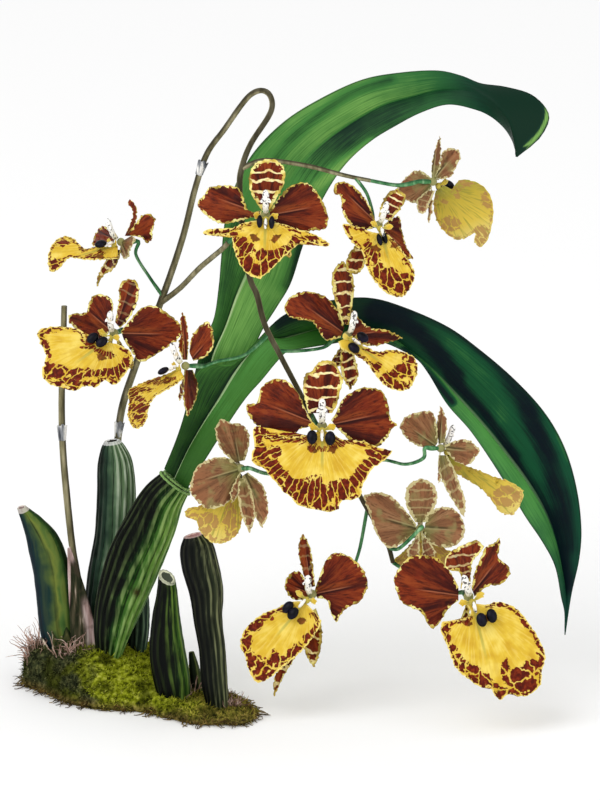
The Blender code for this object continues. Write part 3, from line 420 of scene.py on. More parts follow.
flowers = dict(
    flower_01=dict(
        place=(52.4, 193.2, -20), face=(0, 0, 0), size=0.92, callus=[(260, 223), (272, 224)], callusWide=0.6,
        dorsal=dict(tip=(0.4, 22.4, 2), left=[(262, 212), (254, 200), (250, 190), (250, 176), (256, 165)],
            right=[(270, 212), (278, 198), (284, 186), (285, 172), (278, 163), (268, 161)]),
        petalLeft=dict(tip=(-25.2, 9, -2),
            left=[(262, 212), (249, 212), (241, 192), (229, 187), (210, 189), (206, 196)],
            right=[(261, 218), (252, 219), (241, 222), (222, 225), (207, 217), (199, 208), (199, 201)]),
        petalRight=dict(tip=(25, 4.6, -2),
            left=[(270, 212), (280, 198), (290, 188), (304, 184), (314, 190), (323, 204)],
            right=[(270, 219), (280, 228), (290, 236), (312, 232), (325, 230), (328, 220), (326, 212)]),
        lip=dict(
            band=1.4,
            blotches=[(219, 233, 12, 2), (242, 244, 5.5, 5), (249, 249, 4.5, 4.5), (242, 258, 4, 6),
            (249, 266, 5, 7), (256, 272, 6, 5), (263, 257, 6, 5.5), (267, 268, 6, 6), (276, 258, 6.5, 5.5),
            (286, 252, 5, 4.5), (295, 242, 5, 5), (313, 240, 9, 2.5), (323, 244, 4, 2.5),
            (232, 235, 4, 2.5)],
            tip=(-1, -23, 5),
            left=[(258, 222), (250, 223), (240, 226), (232, 230), (220, 230), (205, 232), (206, 236),
            (222, 236), (232, 238), (234, 249), (240, 265), (249, 276)],
            right=[(272, 224), (285, 226), (296, 230), (310, 234), (327, 243), (327, 248), (312, 243),
            (300, 245), (293, 250), (282, 260), (270, 272), (261, 279), (256, 278)])),
    flower_02=dict(
        place=(-5.6, 183.2, 14), face=(-65, 0, 4), size=0.85, callus=[(101, 244)],
        dorsal=dict(barred=0, tip=(3.6, 16.8, -3), twist=40,
            left=[(125, 236), (131, 222), (133, 212), (128, 203)],
            right=[(131, 236), (135, 226), (137, 215), (136, 206), (130, 199)]),
        petalRight=dict(tip=(12.8, 4, 8), twist=30, left=[(128, 233), (136, 224), (141, 217), (149, 214)],
            right=[(132, 236), (142, 238), (147, 243), (152, 240), (153, 231), (156, 219)]),
        petalLeft=dict(tip=(-10, 4.4, -9), twist=-30, left=[(113, 235), (104, 226), (96, 232)],
            right=[(114, 243), (106, 243), (98, 246), (91, 244)]),
        sepalRight=dict(tip=(2, -8, 10), barred=0, twist=180, left=[(122, 242), (120, 250)],
            right=[(132, 236), (136, 240), (131, 249), (129, 257), (124, 260)]),
        sepalLeft=dict(tip=(-9, -17, -1), left=[(114, 250), (109, 256), (105, 262), (100, 271), (97, 279)],
            right=[(121, 250), (119, 260), (113, 270), (104, 275), (99, 283), (97, 287)]),
        lip=dict(
            band=1.0,
            blotches=[(61, 243, 6, 3), (57, 265, 6, 5), (84, 249, 3, 2), (92, 257, 3, 1.5),
            (103, 252, 3, 2)],
            tip=(-28, -8.2, 7), cup=0.02,
            left=[(118, 246), (108, 247), (97, 246), (88, 249), (82, 247), (74, 239), (65, 236), (56, 240),
            (50, 249), (48, 260)],
            right=[(118, 259), (100, 260), (86, 260), (70, 258), (63, 265), (57, 271), (50, 272)])),
    flower_03=dict(
        place=(-8.4, 146.8, 6), face=(-28, -8, 16), size=0.92, callus=[(93, 338), (102, 342)],
        dorsal=dict(barred=0.15, tip=(6.8, 20.8, -1), left=[(115, 322), (119, 300), (119, 288), (123, 281)],
            right=[(120, 328), (128, 320), (136, 306), (139, 292), (137, 282), (130, 279)]),
        petalLeft=dict(tip=(-13.6, 11.4, -9),
            left=[(112, 322), (112, 300), (97, 294), (89, 302), (87, 312), (70, 314)],
            right=[(108, 334), (100, 340), (92, 338), (80, 332), (68, 322)]),
        petalRight=dict(tip=(26.4, -0.5, 3),
            left=[(121, 331), (132, 318), (142, 308), (155, 306), (170, 315), (181, 325)],
            right=[(124, 340), (134, 355), (142, 362), (160, 352), (175, 342), (184, 332)]),
        sepalLeft=dict(tip=(-6, -15, -9)), sepalRight=dict(tip=(7, -15, -6)),
        lip=dict(
            band=1.8,
            blotches=[(40, 334, 3, 3), (43, 342, 3, 2.5), (48, 349, 2.5, 2.5), (46, 356, 3, 2.5),
            (45, 364, 3, 2.5), (57, 371, 11, 6), (68, 383, 8, 5), (78, 374, 6, 5), (88, 373, 4, 4),
            (97, 374, 3.5, 3.5), (106, 373, 4, 3.5), (114, 373, 5, 5), (121, 368, 4, 4), (126, 362, 3, 3.5),
            (129, 355, 3, 3), (90, 347, 5, 2), (105, 351, 6, 4), (112, 356, 3, 2)],
            tip=(-24.3, -18.3, 5), cup=0.04,
            left=[(100, 342), (86, 340), (80, 330), (65, 327), (50, 327), (38, 331), (40, 342), (46, 356),
            (42, 374), (50, 384)],
            right=[(118, 344), (131, 352), (132, 363), (124, 376), (115, 385), (105, 380), (97, 387),
            (86, 386), (74, 391), (66, 386), (60, 387)])),
    flower_04=dict(
        place=(20.4, 133.6, -22), face=(-70, 0, 6), size=0.85, callus=[(164, 371)],
        dorsal=dict(barred=0, tip=(-1.2, 21.6, -2), twist=40, left=[(183, 360), (183, 340), (181, 322)],
            right=[(188, 360), (189, 340), (187, 322), (183, 312)]),
        petalRight=dict(tip=(10.4, 12, 8), twist=20, left=[(190, 352), (192, 338), (199, 328), (208, 322)],
            right=[(194, 361), (206, 357), (214, 346), (213, 330)]),
        petalLeft=dict(tip=(3, 10, -12), left=[(183, 360), (179, 345)],
            right=[(188, 358), (188, 345), (184, 328)]),
        sepalLeft=dict(tip=(-3, -14, -6), spread=10),
        sepalRight=dict(barred=0, tip=(0.4, -19.6, 4), twist=200, left=[(185, 370), (184, 385), (184, 400)],
            right=[(193, 370), (198, 385), (196, 400), (188, 417)]),
        lip=dict(
            band=1.4,
            blotches=[(140, 390, 8, 1.6), (155, 382, 13, 1.6), (172, 378, 3, 2), (141, 409, 7, 11),
            (135, 395, 3, 3)],
            tip=(-21, -11.5, 8), bend=-0.3, cup=0,
            left=[(180, 368), (168, 374), (150, 380), (138, 385), (129, 391), (130, 402), (129, 416)],
            right=[(185, 378), (176, 385), (164, 392), (155, 398), (150, 408), (148, 420), (141, 428),
            (134, 427)])),
    flower_05=dict(
        place=(97.2, 189.6, -14), face=(18, 0, 10), size=0.85, callus=[(379, 241), (384, 239)],
        callusWide=0.6,
        dorsal=dict(tip=(6.8, 13.4, 2), left=[(378, 218), (381, 205), (388, 194)],
            right=[(389, 222), (400, 210), (405, 198), (397, 190)]),
        petalLeft=dict(tip=(-16.6, 16, 2), left=[(375, 222), (368, 205), (355, 189), (342, 183), (334, 187)],
            right=[(372, 230), (360, 231), (348, 224), (342, 212), (341, 198), (334, 196)]),
        petalRight=dict(tip=(13.4, -12.2, -3),
            left=[(383, 226), (391, 220), (399, 218), (401, 230), (406, 248)],
            right=[(384, 235), (392, 247), (402, 256), (407, 260), (413, 259)]),
        sepalLeft=dict(tip=(-6.4, -24, -5), left=[(368, 236), (352, 250), (346, 262)],
            right=[(374, 240), (369, 252), (362, 270), (354, 275), (346, 272)]),
        sepalRight=dict(tip=(4, -18, -8)),
        lip=dict(
            band=1.4,
            blotches=[(374, 257, 5, 5), (367, 248, 3, 5), (378, 272, 5, 7), (389, 276, 8, 7),
            (399, 286, 8, 7), (408, 288, 6, 6), (405, 278, 5, 3), (386, 287, 5, 5), (404, 262, 2.5, 3)],
            tip=(6.5, -24, 5),
            left=[(372, 234), (358, 229), (343, 225), (346, 236), (354, 246), (362, 254), (366, 268),
            (374, 282), (386, 294)],
            right=[(388, 236), (396, 244), (404, 255), (411, 266), (414, 276), (411, 286), (404, 296),
            (398, 298)])),
    flower_06=dict(
        place=(118.8, 206.8, -8), face=(130, 0, 0), size=0.85,
        dorsal=dict(barred=0, tip=(2, 18.4, 2), twist=20, left=[(431, 180), (431, 166), (434, 152)],
            right=[(436, 180), (439, 164), (440, 150), (439, 137)]),
        petalLeft=dict(tip=(9, 11, 8), left=[(434, 178), (439, 166), (441, 155), (448, 150)],
            right=[(441, 181), (450, 178), (455, 168), (459, 160), (458, 152)]),
        petalRight=dict(tip=(-12.8, -0.8, -12), left=[(430, 179), (422, 173), (414, 172), (404, 180)],
            right=[(430, 190), (424, 198), (414, 204), (403, 199), (396, 189)]),
        sepalLeft=dict(tip=(-1, -16.8, 2), spread=6),
        sepalRight=dict(tip=(-4.8, -12.8, 0), left=[(426, 192), (416, 202)],
            right=[(434, 192), (429, 204), (424, 214), (418, 214)]),
        lip=dict(
            band=1.2, blotches=[(487, 200, 6, 8), (480, 236, 7, 9), (450, 224, 9, 6), (466, 184, 5, 3)],
            tip=(18, -18, -9), cup=0.03,
            left=[(435, 192), (433, 205), (436, 220), (444, 232), (456, 240), (466, 238), (474, 233),
            (474, 243)],
            right=[(443, 187), (452, 191), (460, 189), (458, 182), (468, 182), (480, 187), (489, 198),
            (492, 214), (490, 230), (486, 242), (480, 248)])),
    flower_07=dict(
        place=(84.8, 145.6, -16), face=(32, 0, -4), size=0.9,
        dorsal=dict(tip=(-1.8, 27.6, 1), left=[(342, 325), (336, 305), (332, 288), (333, 272)],
            right=[(349, 325), (352, 305), (354, 288), (351, 272), (342, 261)]),
        petalLeft=dict(tip=(-20.6, 14.6, 9),
            left=[(344, 328), (338, 312), (325, 297), (305, 292), (290, 298)],
            right=[(340, 338), (325, 340), (313, 323), (298, 320), (288, 316), (284, 308)]),
        petalRight=dict(tip=(17, 2.4, -8), left=[(350, 326), (352, 310), (358, 318), (370, 328), (386, 330)],
            right=[(352, 340), (362, 345), (376, 346), (390, 342), (403, 338)]),
        sepalLeft=dict(tip=(-5, -14, -7)),
        sepalRight=dict(tip=(2.8, -21.6, -3), left=[(342, 345), (340, 360), (342, 376)],
            right=[(352, 350), (356, 362), (358, 377), (350, 390)]),
        lip=dict(
            band=1.4,
            blotches=[(388, 379, 8, 6), (402, 371, 8, 6), (396, 386, 8, 4), (394, 346, 9, 3),
            (408, 360, 5, 4), (376, 367, 4, 3)],
            tip=(22.5, -17.5, 2), cup=0.03,
            left=[(338, 342), (342, 350), (354, 355), (366, 363), (374, 374), (385, 386), (400, 391)],
            right=[(352, 336), (358, 343), (368, 348), (378, 352), (390, 350), (402, 352), (414, 358),
            (417, 372), (410, 388)])),
    flower_08=dict(
        place=(74.8, 109.6, -28), face=(0, 0, 0), size=1, callus=[(312, 437), (330, 438)],
        dorsal=dict(tip=(0, 26, 2),
            left=[(308, 413), (305, 400), (303, 388), (305, 375), (312, 371), (318, 363)],
            right=[(332, 413), (337, 404), (340, 391), (343, 380), (339, 371), (335, 363), (327, 360)]),
        petalLeft=dict(
            tip=(-27, 10.8, -2),
            left=[(314, 424), (305, 408), (298, 393), (289, 382), (278, 379), (268, 382), (261, 388),
            (259, 398), (256, 404), (247, 404)],
            right=[(308, 427), (300, 429), (293, 434), (284, 434), (274, 436), (266, 431), (258, 426),
            (252, 420), (247, 412)]),
        petalRight=dict(
            tip=(28.4, 6, -2),
            left=[(331, 420), (337, 411), (341, 401), (350, 393), (361, 388), (373, 388), (381, 391),
            (386, 398), (389, 412), (391, 420)],
            right=[(336, 427), (343, 434), (351, 441), (362, 442), (373, 447), (380, 445), (388, 436),
            (391, 429), (398, 425)]),
        lip=dict(
            band=2.0, streaks=10,
            blotches=[(259, 434, 5, 5), (260, 452, 7, 10), (276, 451, 5, 5), (271, 465, 8, 6),
            (282, 472, 5, 4), (292, 484, 6, 7), (299, 492, 3.5, 10), (306, 492, 3.5, 12),
            (313, 493, 3.5, 14), (320, 495, 3.5, 14), (327, 501, 3.5, 10), (341, 488, 11, 9),
            (356, 483, 7, 8), (361, 473, 6, 6), (368, 464, 6, 5), (375, 460, 6, 5), (384, 453, 6, 4),
            (371, 452, 4, 3), (313, 446, 5, 4), (335, 444, 7, 3.5), (324, 449, 3, 2.5)],
            tip=(0, -29, 5),
            left=[(313, 432), (300, 437), (282, 437), (270, 438), (262, 431), (255, 426), (253, 434),
            (255, 446), (252, 455), (254, 463), (264, 468), (270, 476), (278, 484), (283, 491), (291, 496),
            (296, 503), (305, 506)],
            right=[(331, 432), (341, 439), (354, 440), (367, 443), (380, 448), (391, 451), (385, 459),
            (377, 465), (371, 469), (366, 478), (362, 486), (361, 494), (352, 499), (342, 500), (338, 508),
            (328, 511), (316, 508)])),
    flower_09=dict(
        place=(42.4, 92.8, -29), face=(-150, 0, 0), size=0.85,
        dorsal=dict(barred=0.1, tip=(-3.2, 16.8, -3), left=[(234, 462), (222, 450), (217, 438), (216, 427)],
            right=[(245, 460), (249, 446), (249, 433), (241, 424), (231, 423), (222, 418)]),
        petalRight=dict(tip=(-19.6, -6, 8),
            left=[(237, 464), (229, 458), (218, 457), (207, 460), (197, 467), (192, 480)],
            right=[(241, 474), (238, 486), (232, 498), (222, 506), (208, 508), (197, 500), (190, 490)]),
        petalLeft=dict(tip=(9.4, -20, -4), twist=30, left=[(242, 476), (250, 492), (254, 512)],
            right=[(248, 472), (262, 484), (267, 497), (268, 514), (262, 528)]),
        sepalLeft=dict(tip=(3.4, -25, 2), left=[(238, 477), (238, 495), (242, 515)],
            right=[(245, 478), (252, 492), (255, 515), (250, 533)]),
        sepalRight=dict(tip=(-4, -14, 4), spread=10),
        lip=dict(
            band=1.6, blotches=[(206, 522, 12, 9), (230, 520, 5, 14)], tip=(-12, -25.5, -3), cup=0.02,
            left=[(236, 482), (228, 492), (212, 500), (198, 506), (188, 508), (186, 516), (196, 518),
            (200, 530)],
            right=[(244, 482), (245, 500), (242, 520), (238, 533), (228, 541), (220, 543), (211, 542)])),
    flower_10=dict(
        place=(122, 100.8, -32), face=(125, 0, 0), size=0.85,
        dorsal=dict(barred=0, tip=(1, 17.4, 0), twist=20, left=[(438, 444), (436, 425)],
            right=[(444, 442), (446, 422), (440, 405)]),
        petalLeft=dict(tip=(14.8, -1.5, 12), left=[(444, 445), (456, 440), (468, 440)],
            right=[(446, 452), (455, 461), (468, 464), (479, 450)]),
        petalRight=dict(tip=(-15, 10.5, -10),
            left=[(437, 442), (436, 425), (431, 412), (418, 412), (405, 417)],
            right=[(433, 448), (425, 448), (414, 444), (405, 437), (399, 427)]),
        sepalLeft=dict(tip=(9.2, -28, 10), left=[(438, 455), (438, 470), (445, 488), (455, 505)],
            right=[(446, 455), (454, 470), (459, 485), (464, 500), (463, 517)]),
        sepalRight=dict(tip=(0, -14, -3), spread=10),
        lip=dict(
            band=0.6, blotches=[(506, 496, 12, 10)], tip=(30, -19.6, -6), cup=0,
            left=[(444, 458), (452, 470), (464, 478), (480, 488), (491, 500), (500, 512)],
            right=[(450, 455), (462, 464), (478, 470), (492, 476), (508, 481), (522, 491), (519, 505),
            (512, 515)])),
    flower_11=dict(
        place=(114, 68.8, -24), face=(180, 0, 0), size=0.85,
        dorsal=dict(tip=(0, 19.6, 2), left=[(415, 522), (407, 508), (405, 495), (409, 484)],
            right=[(425, 522), (433, 510), (437, 497), (433, 484), (421, 478)]),
        petalLeft=dict(tip=(18, -1, 3), left=[(425, 523), (431, 511), (441, 507), (452, 508), (461, 517)],
            right=[(424, 534), (430, 543), (438, 546), (450, 547), (460, 541), (465, 530)]),
        petalRight=dict(
            tip=(-20, 6, 3), left=[(416, 524), (405, 510), (391, 496), (377, 492)],
            right=[(415, 533), (406, 540), (397, 546), (387, 547), (376, 533), (370, 516), (366, 505),
            (363, 495)]),
        sepalLeft=dict(tip=(5, -14, 3)), sepalRight=dict(tip=(-4, -14, 3)),
        lip=dict(tip=(2, -15, -17), spread=40, reach=(0.8, 1, 0.95, 1, 0.8), cup=0.05)),
    flower_12=dict(
        place=(70.8, 42.4, -26), face=(-34, -14, 24), size=0.95, callus=[(288, 607), (293, 613)],
        dorsal=dict(barred=0.15, tip=(-3.6, 24.4, -2), left=[(308, 588), (303, 572), (299, 556), (299, 543)],
            right=[(315, 586), (313, 565), (310, 547), (303, 533)]),
        petalLeft=dict(tip=(-9.6, 3.8, -6), left=[(308, 590), (304, 577), (297, 571), (288, 576)],
            right=[(309, 597), (301, 600), (291, 598), (284, 587)]),
        petalRight=dict(
            tip=(21.5, 4.6, 9),
            left=[(315, 589), (320, 575), (325, 562), (333, 553), (345, 554), (357, 562), (365, 573)],
            right=[(317, 598), (327, 600), (331, 612), (336, 622), (341, 614), (348, 607), (360, 601),
            (368, 586)]),
        sepalRight=dict(tip=(1.4, -29.2, -7), left=[(306, 615), (303, 640), (307, 657)],
            right=[(316, 608), (322, 630), (320, 652), (314, 668)]),
        sepalLeft=dict(tip=(-14.5, -38, -15), left=[(292, 650), (283, 662), (274, 680)],
            right=[(300, 640), (296, 656), (284, 676), (274, 698)]),
        lip=dict(
            band=2.0,
            blotches=[(263, 617, 7, 3), (252, 626, 9, 5), (247, 641, 5, 6), (246, 653, 4, 5),
            (254, 661, 7, 6), (260, 671, 6, 8), (268, 664, 4, 5), (275, 656, 3, 5), (282, 661, 4, 4),
            (299, 648, 5, 5), (292, 653, 4, 4), (309, 638, 5, 5), (316, 630, 3, 4), (281, 609, 9, 2.5)],
            tip=(-23, -27.5, -1), cup=0.03,
            left=[(305, 602), (296, 601), (286, 603), (277, 608), (264, 613), (253, 621), (244, 631),
            (240, 645), (245, 656), (248, 668), (254, 680)],
            right=[(309, 606), (315, 612), (321, 622), (314, 635), (305, 647), (296, 656), (285, 665),
            (272, 676), (260, 683)])),
    flower_13=dict(
        place=(133.2, 41.6, -37), face=(14, -10, -24), size=1, callus=[(481, 619), (491, 615)],
        dorsal=dict(
            barred=0.5, tip=(-3, 21.4, 1),
            left=[(460, 588), (461, 578), (458, 571), (447, 569), (444, 562), (448, 553), (459, 546),
            (471, 541)],
            right=[(470, 588), (470, 577), (471, 568), (472, 561), (478, 554), (483, 546), (476, 539)]),
        petalLeft=dict(
            tip=(-28.6, 4, -1),
            left=[(458, 586), (447, 567), (438, 558), (425, 555), (410, 556), (400, 566)],
            right=[(458, 600), (450, 606), (443, 616), (434, 628), (428, 624), (420, 611), (410, 607),
            (399, 598), (393, 578)]),
        petalRight=dict(
            tip=(14.2, 18, -4), left=[(471, 587), (474, 572), (480, 558), (485, 547), (493, 543)],
            right=[(474, 596), (487, 586), (500, 584), (509, 575), (508, 566), (498, 558), (499, 548),
            (500, 537)]),
        sepalLeft=dict(tip=(-3, -24, -8)), sepalRight=dict(tip=(11, -20, -8)),
        lip=dict(
            band=1.8,
            blotches=[(446, 627, 3, 3), (446, 637, 3, 3), (452, 647, 3, 3), (458, 656, 3, 3),
            (465, 664, 4, 3.5), (474, 670, 5, 5), (484, 678, 5, 5), (493, 686, 5, 4), (502, 692, 5, 5),
            (505, 670, 4, 10), (520, 678, 11, 12), (531, 667, 8, 8), (535, 685, 7, 6), (541, 652, 3.5, 4),
            (538, 641, 3, 3), (534, 630, 3, 3), (529, 620, 2.5, 2.5), (523, 613, 2.5, 2.5)],
            tip=(10.7, -42.7, 3), cup=0.03, bend=-0.05,
            left=[(466, 604), (470, 612), (464, 619), (452, 620), (441, 622), (441, 632), (447, 646),
            (453, 663), (459, 671), (468, 678), (480, 686), (490, 685), (493, 693)],
            right=[(476, 603), (486, 604), (496, 601), (506, 603), (518, 610), (528, 622), (539, 640),
            (545, 655), (541, 670), (540, 684), (528, 694), (517, 695), (508, 693), (500, 700)])))


def fanMargins(organ, length, rows):
    # the two margins of an organ that opens as a fan: ahead of its foot and aside of its middle line
    reach = organ["reach"]
    spread = radians(organ["spread"])
    margins = []
    for side in (-1, 1):
        claw = length * reach[0] * 0.35
        knots = [(0.8, 0.9 * side * sin(spread))]
        knots.append((claw * cos(spread * 0.8), side * claw * sin(spread * 0.8)))
        for share in np.linspace(1, 0, 6):
            far = length * float(np.interp(side * share, np.linspace(-1, 1, len(reach)), reach))
            knots.append((far * cos(spread * share), side * far * sin(spread * share)))
        margins.append(curveThrough(knots, rows))
    return margins


def wave(travelled, width, seed):
    # an uneven wave along a margin, about so wide from crest to crest
    turn = 2 * pi * travelled / width
    swell = 0.55 + 0.45 * np.sin(turn * 0.31 + 1.3 * seed) * np.sin(turn * 0.13 + seed)
    quick = 0.6 * np.sin(turn + seed) + 0.5 * np.sin(turn * 1.63 + 2.1 * seed)
    return swell * quick + 0.3 * np.sin(turn * 0.57 + 0.7 * seed)


def addOrgan(heap, organ, foot, axes, rows, columns, seed, size, lobe=0.0):
    toView = viewAxes.transposed()
    reach = Vector(organ["tip"])
    length, along = reach.length, np.array(reach.normalized())
    facing = toView @ axes.col[2]
    front = (facing - Vector(along) * facing.dot(Vector(along))).normalized()
    front = Matrix.Rotation(radians(organ.get("twist", 0)), 3, Vector(along)) @ front
    across = np.array(Vector(along).cross(front))
    front = np.array(front)
    drawn = "left" in organ
    footSpot = np.array((toView @ foot)[:2])
    if drawn:
        lines = organ["left"] + organ["right"][-1:], organ["right"]
        margins = [curveThrough([onPlane(spot) for spot in line], rows) - footSpot for line in lines]
        if abs(front[2]) < organMesh["flattest"]:
            front[2] = organMesh["flattest"] * (1 if front[2] >= 0 else -1)
            front /= norm(front)
    else:
        margins = fanMargins(organ, length, rows)
    # teeth round the margin
    for side, margin in enumerate(margins):
        gone = distances(margin)
        way = np.gradient(margin, axis=0)
        out = np.stack([-way[:, 1], way[:, 0]], 1) / np.maximum(norm(way, axis=1, keepdims=True), 1e-6)
        grows = np.clip(gone / 5, 0, 1) * organMesh["toothDeep"]
        margin += out * (grows * wave(gone, organMesh["toothWide"], seed + side))[:, None]
    spread = (1 + np.sin(pi / 2 * np.linspace(-1, 1, columns)))[None, :, None] / 2
    shares = np.linspace(0, 1, rows)
    for margin in margins:     # the last row stops just short of the tip, so that no face is a sliver
        margin[-1] = margin[-1] * 0.3 + margin[-2] * 0.7
    flat = margins[0][:, None, :] * (1 - spread) + margins[1][:, None, :] * spread
    if drawn:
        depth = -(front[0] * flat[..., 0] + front[1] * flat[..., 1]) / front[2]
        place = np.concatenate([flat, depth[..., None]], 2)
    else:
        place = flat[..., :1] * along + flat[..., 1:] * across
    edgeLine = np.concatenate([place[:, 0], place[::-1, -1]])
    gone = distances(edgeLine)
    gaps = norm(place.reshape(-1, 1, 3) - edgeLine[None], axis=2)
    edge, at = gaps.min(axis=1).reshape(rows, columns), gone[gaps.argmin(axis=1)].reshape(rows, columns)
    ahead, aside = place @ along, place @ across
    radius = norm(place, axis=2)
    blotch = np.full(edge.shape, -9.0)     # how far inside the nearest drawn blotch, in mm
    for column, row, *half in organ.get("blotches", ()):
        half = np.array(half) * picture["mmPerPixel"]
        away = norm((flat - (np.array(onPlane((column, row))) - footSpot)) / half, axis=2)
        blotch = np.maximum(blotch, (1 - away) * half.min() + organMesh["blotchSoft"])
    rimmed = edge * max(1, organMesh["rimmedFrom"] / edge.max())     # a narrow organ has a narrow rim
    share = np.clip(radius / length, 0, 1.3)
    grows = np.clip(shares / organMesh["calmFoot"], 0, 1)[:, None]
    lift = length * organ["bend"] * share ** 2 + organ["cup"] * np.abs(aside) * np.minimum(share, 1)
    ruffle = size * organ["ruffle"] * grows * np.exp(-edge / organMesh["waveDeep"])
    frill = organMesh["frill"] * np.exp(-edge / organMesh["frillDeep"]) * grows
    lift = lift + ruffle * wave(at, organMesh["waveWide"], seed)
    lift = lift + frill * wave(at, organMesh["frillWide"], seed * 3)
    spin = np.arctan2(aside, np.maximum(ahead, 1e-3))
    if lobe == 0:     # pleats that open from the foot, and a groove down the middle
        pleats = organMesh["pleat"] * np.sin(organMesh["pleats"] * spin + 2 * np.sin(3 * spin + seed))
        groove = organMesh["groove"] * np.exp(-(aside / organMesh["grooveWide"]) ** 2)
        lift = lift + pleats * np.minimum(share * 1.5, 1) - groove * np.clip(1 - share, 0, 1)
    if drawn:
        place[..., 2] += np.clip(lift / front[2], -organMesh["deepest"], organMesh["deepest"])
    else:
        place = place + lift[..., None] * front
    normals = gridNormals(place, front)
    thickness = organMesh["rim"] + (organMesh["thick"] - organMesh["rim"]) * (1 - np.exp(-edge / 0.9))
    points, faces = gridSheet(place, normals, thickness)
    turned = np.array(viewAxes)
    points = points @ turned.T + np.array(foot)
    twice = lambda values: np.concatenate([values.ravel(), values.ravel()])
    heapUp(heap, points, faces, tall=twice(np.clip(ahead / length, 0, 1.2)), spin=twice(spin),
        radius=twice(radius), edge=twice(rimmed), back=np.repeat((0.0, 1.0), rows * columns),
        barred=organ.get("barred", 0), seed=seed, lobe=lobe, band=organ.get("band", 5), blotch=twice(blotch),
        streaks=organ.get("streaks", 6))


def addBall(heap, centre, axes, sizes, rings=9, sides=14, **marks):
    stations = []
    for i in range(rings):
        angle = pi * (0.04 + 0.92 * i / (rings - 1))
        x, y, z = sizes[0] * sin(angle), -sizes[1] * cos(angle), sizes[2] * sin(angle)
        turns = [2 * pi * k / sides for k in range(sides)]
        stations.append([centre + axes @ Vector((x * cos(turn), y, z * sin(turn))) for turn in turns])
    heapUp(heap, *skin(stations), **marks)


def flowerAxes(flower):
    yaw, pitch, roll = (radians(turn) for turn in flower["face"])
    turned = Matrix.Rotation(yaw, 3, "Y") @ Matrix.Rotation(-pitch, 3, "X") @ Matrix.Rotation(-roll, 3, "Z")
    return viewAxes @ turned


def buildFlower(number, name, flower):
    axes = flowerAxes(flower)
    heart, size = seen(*flower["place"]), flower["size"]
    label = "flower" + name[-2:]
    petals = newHeap(petalMarks)
    addBall(petals, heart, axes, [flowerBody["hub"] * size * s for s in (0.95, 0.9, 0.9)], back=1.0,
        edge=3.0)
    for k, kind in enumerate(("sepalLeft", "sepalRight", "dorsal", "petalLeft", "petalRight")):
        organ = dict(organKinds[kind], **flower.get(kind, {}))
        addOrgan(petals, organ, heart, axes, organMesh["petalRows"], organMesh["petalColumns"],
            number * 1.7 + k, size)
    declare(makePiece(label + "Petals", petals, petalSkin, sharp=50), "petal", name + "_petals")

    foot = heart + axes @ (Vector(flowerBody["lipFoot"]) * size)
    lip = newHeap(lipMarks)
    addBall(lip, foot, axes, [flowerBody["knot"] * size * s for s in (0.9, 0.9, 0.8)], edge=3.0, lobe=1.0)
    organ = dict(organKinds["lip"], **flower["lip"])
    addOrgan(lip, organ, foot, axes, organMesh["lipRows"], organMesh["lipColumns"], number * 2.3, size)
    for mirror in (-1, 1):
        turn, lean = radians(flowerBody["lobeTurn"] * mirror), radians(flowerBody["lobeLean"])
        way = axes @ Vector((sin(turn) * cos(lean), cos(turn) * cos(lean), sin(lean)))
        lobe = dict(tip=viewAxes.transposed() @ way * flowerBody["lobeLength"] * size,
            spread=flowerBody["lobeSpread"], reach=(0.7, 1, 0.8), bend=0.1, cup=0, ruffle=0.1)
        addOrgan(lip, lobe, foot, axes, organMesh["lobeRows"], organMesh["lobeColumns"], number + mirror,
            size, lobe=1.0)
    declare(makePiece(label + "Lip", lip, lipSkin, sharp=50), "lip", name + "_lip")

    column = newHeap(columnMarks)
    knots = curveThrough(columnShape["axis"], columnShape["rings"])
    stations = [(heart + axes @ (Vector(k[:3]) * size), k[3] * size) for k in knots]
    rings = ringsAlong(stations, columnShape["sides"])
    heapUp(column, *skin(rings), tall=np.repeat(np.linspace(0, 1, len(rings)), columnShape["sides"]))
    wing = columnShape["wing"]
    for mirror in (-1, 1):
        x, y, z = wing["at"]
        centre = heart + axes @ (Vector((x * mirror, y, z)) * size)
        turned = axes @ Matrix.Rotation(mirror * wing["turn"], 3, "Z")
        addBall(column, centre, turned, [wing["width"] * size / 2, wing["length"] * size / 2,
            wing["thick"] / 2], tall=1.0)
    along = (viewAxes @ Vector(organ["tip"])).normalized()
    above = (axes.col[2] - along * axes.col[2].dot(along)).normalized()
    lipAxes = Matrix((above.cross(along), along, above)).transposed()
    x, y, z = columnShape["callusAt"]
    for mirror in (-1, 1):
        centre = foot + lipAxes @ (Vector((x * mirror, y, z)) * size)
        if "callus" in flower:
            spots = flower["callus"]
            spot = onPlane(spots[min((mirror + 1) // 2, len(spots) - 1)])
            now = viewAxes.transposed() @ centre
            centre = viewAxes @ Vector((*spot, now.z))
        wide, tall, high = (s * size for s in columnShape["callusSize"])
        addBall(column, centre, lipAxes, [wide * flower.get("callusWide", 1), tall, high], rings=12,
            sides=18, dark=1.0)
    tongue = columnShape["tongue"]
    addBall(column, foot + lipAxes @ (Vector(tongue["at"]) * size), lipAxes,
        [s * size for s in tongue["size"]], tall=0.6)
    declare(makePiece(label + "Column", column, columnWax), "column", name + "_column")


print("flowers")
for number, (name, flower) in enumerate(flowers.items(), 1):
    buildFlower(number, name, flower)


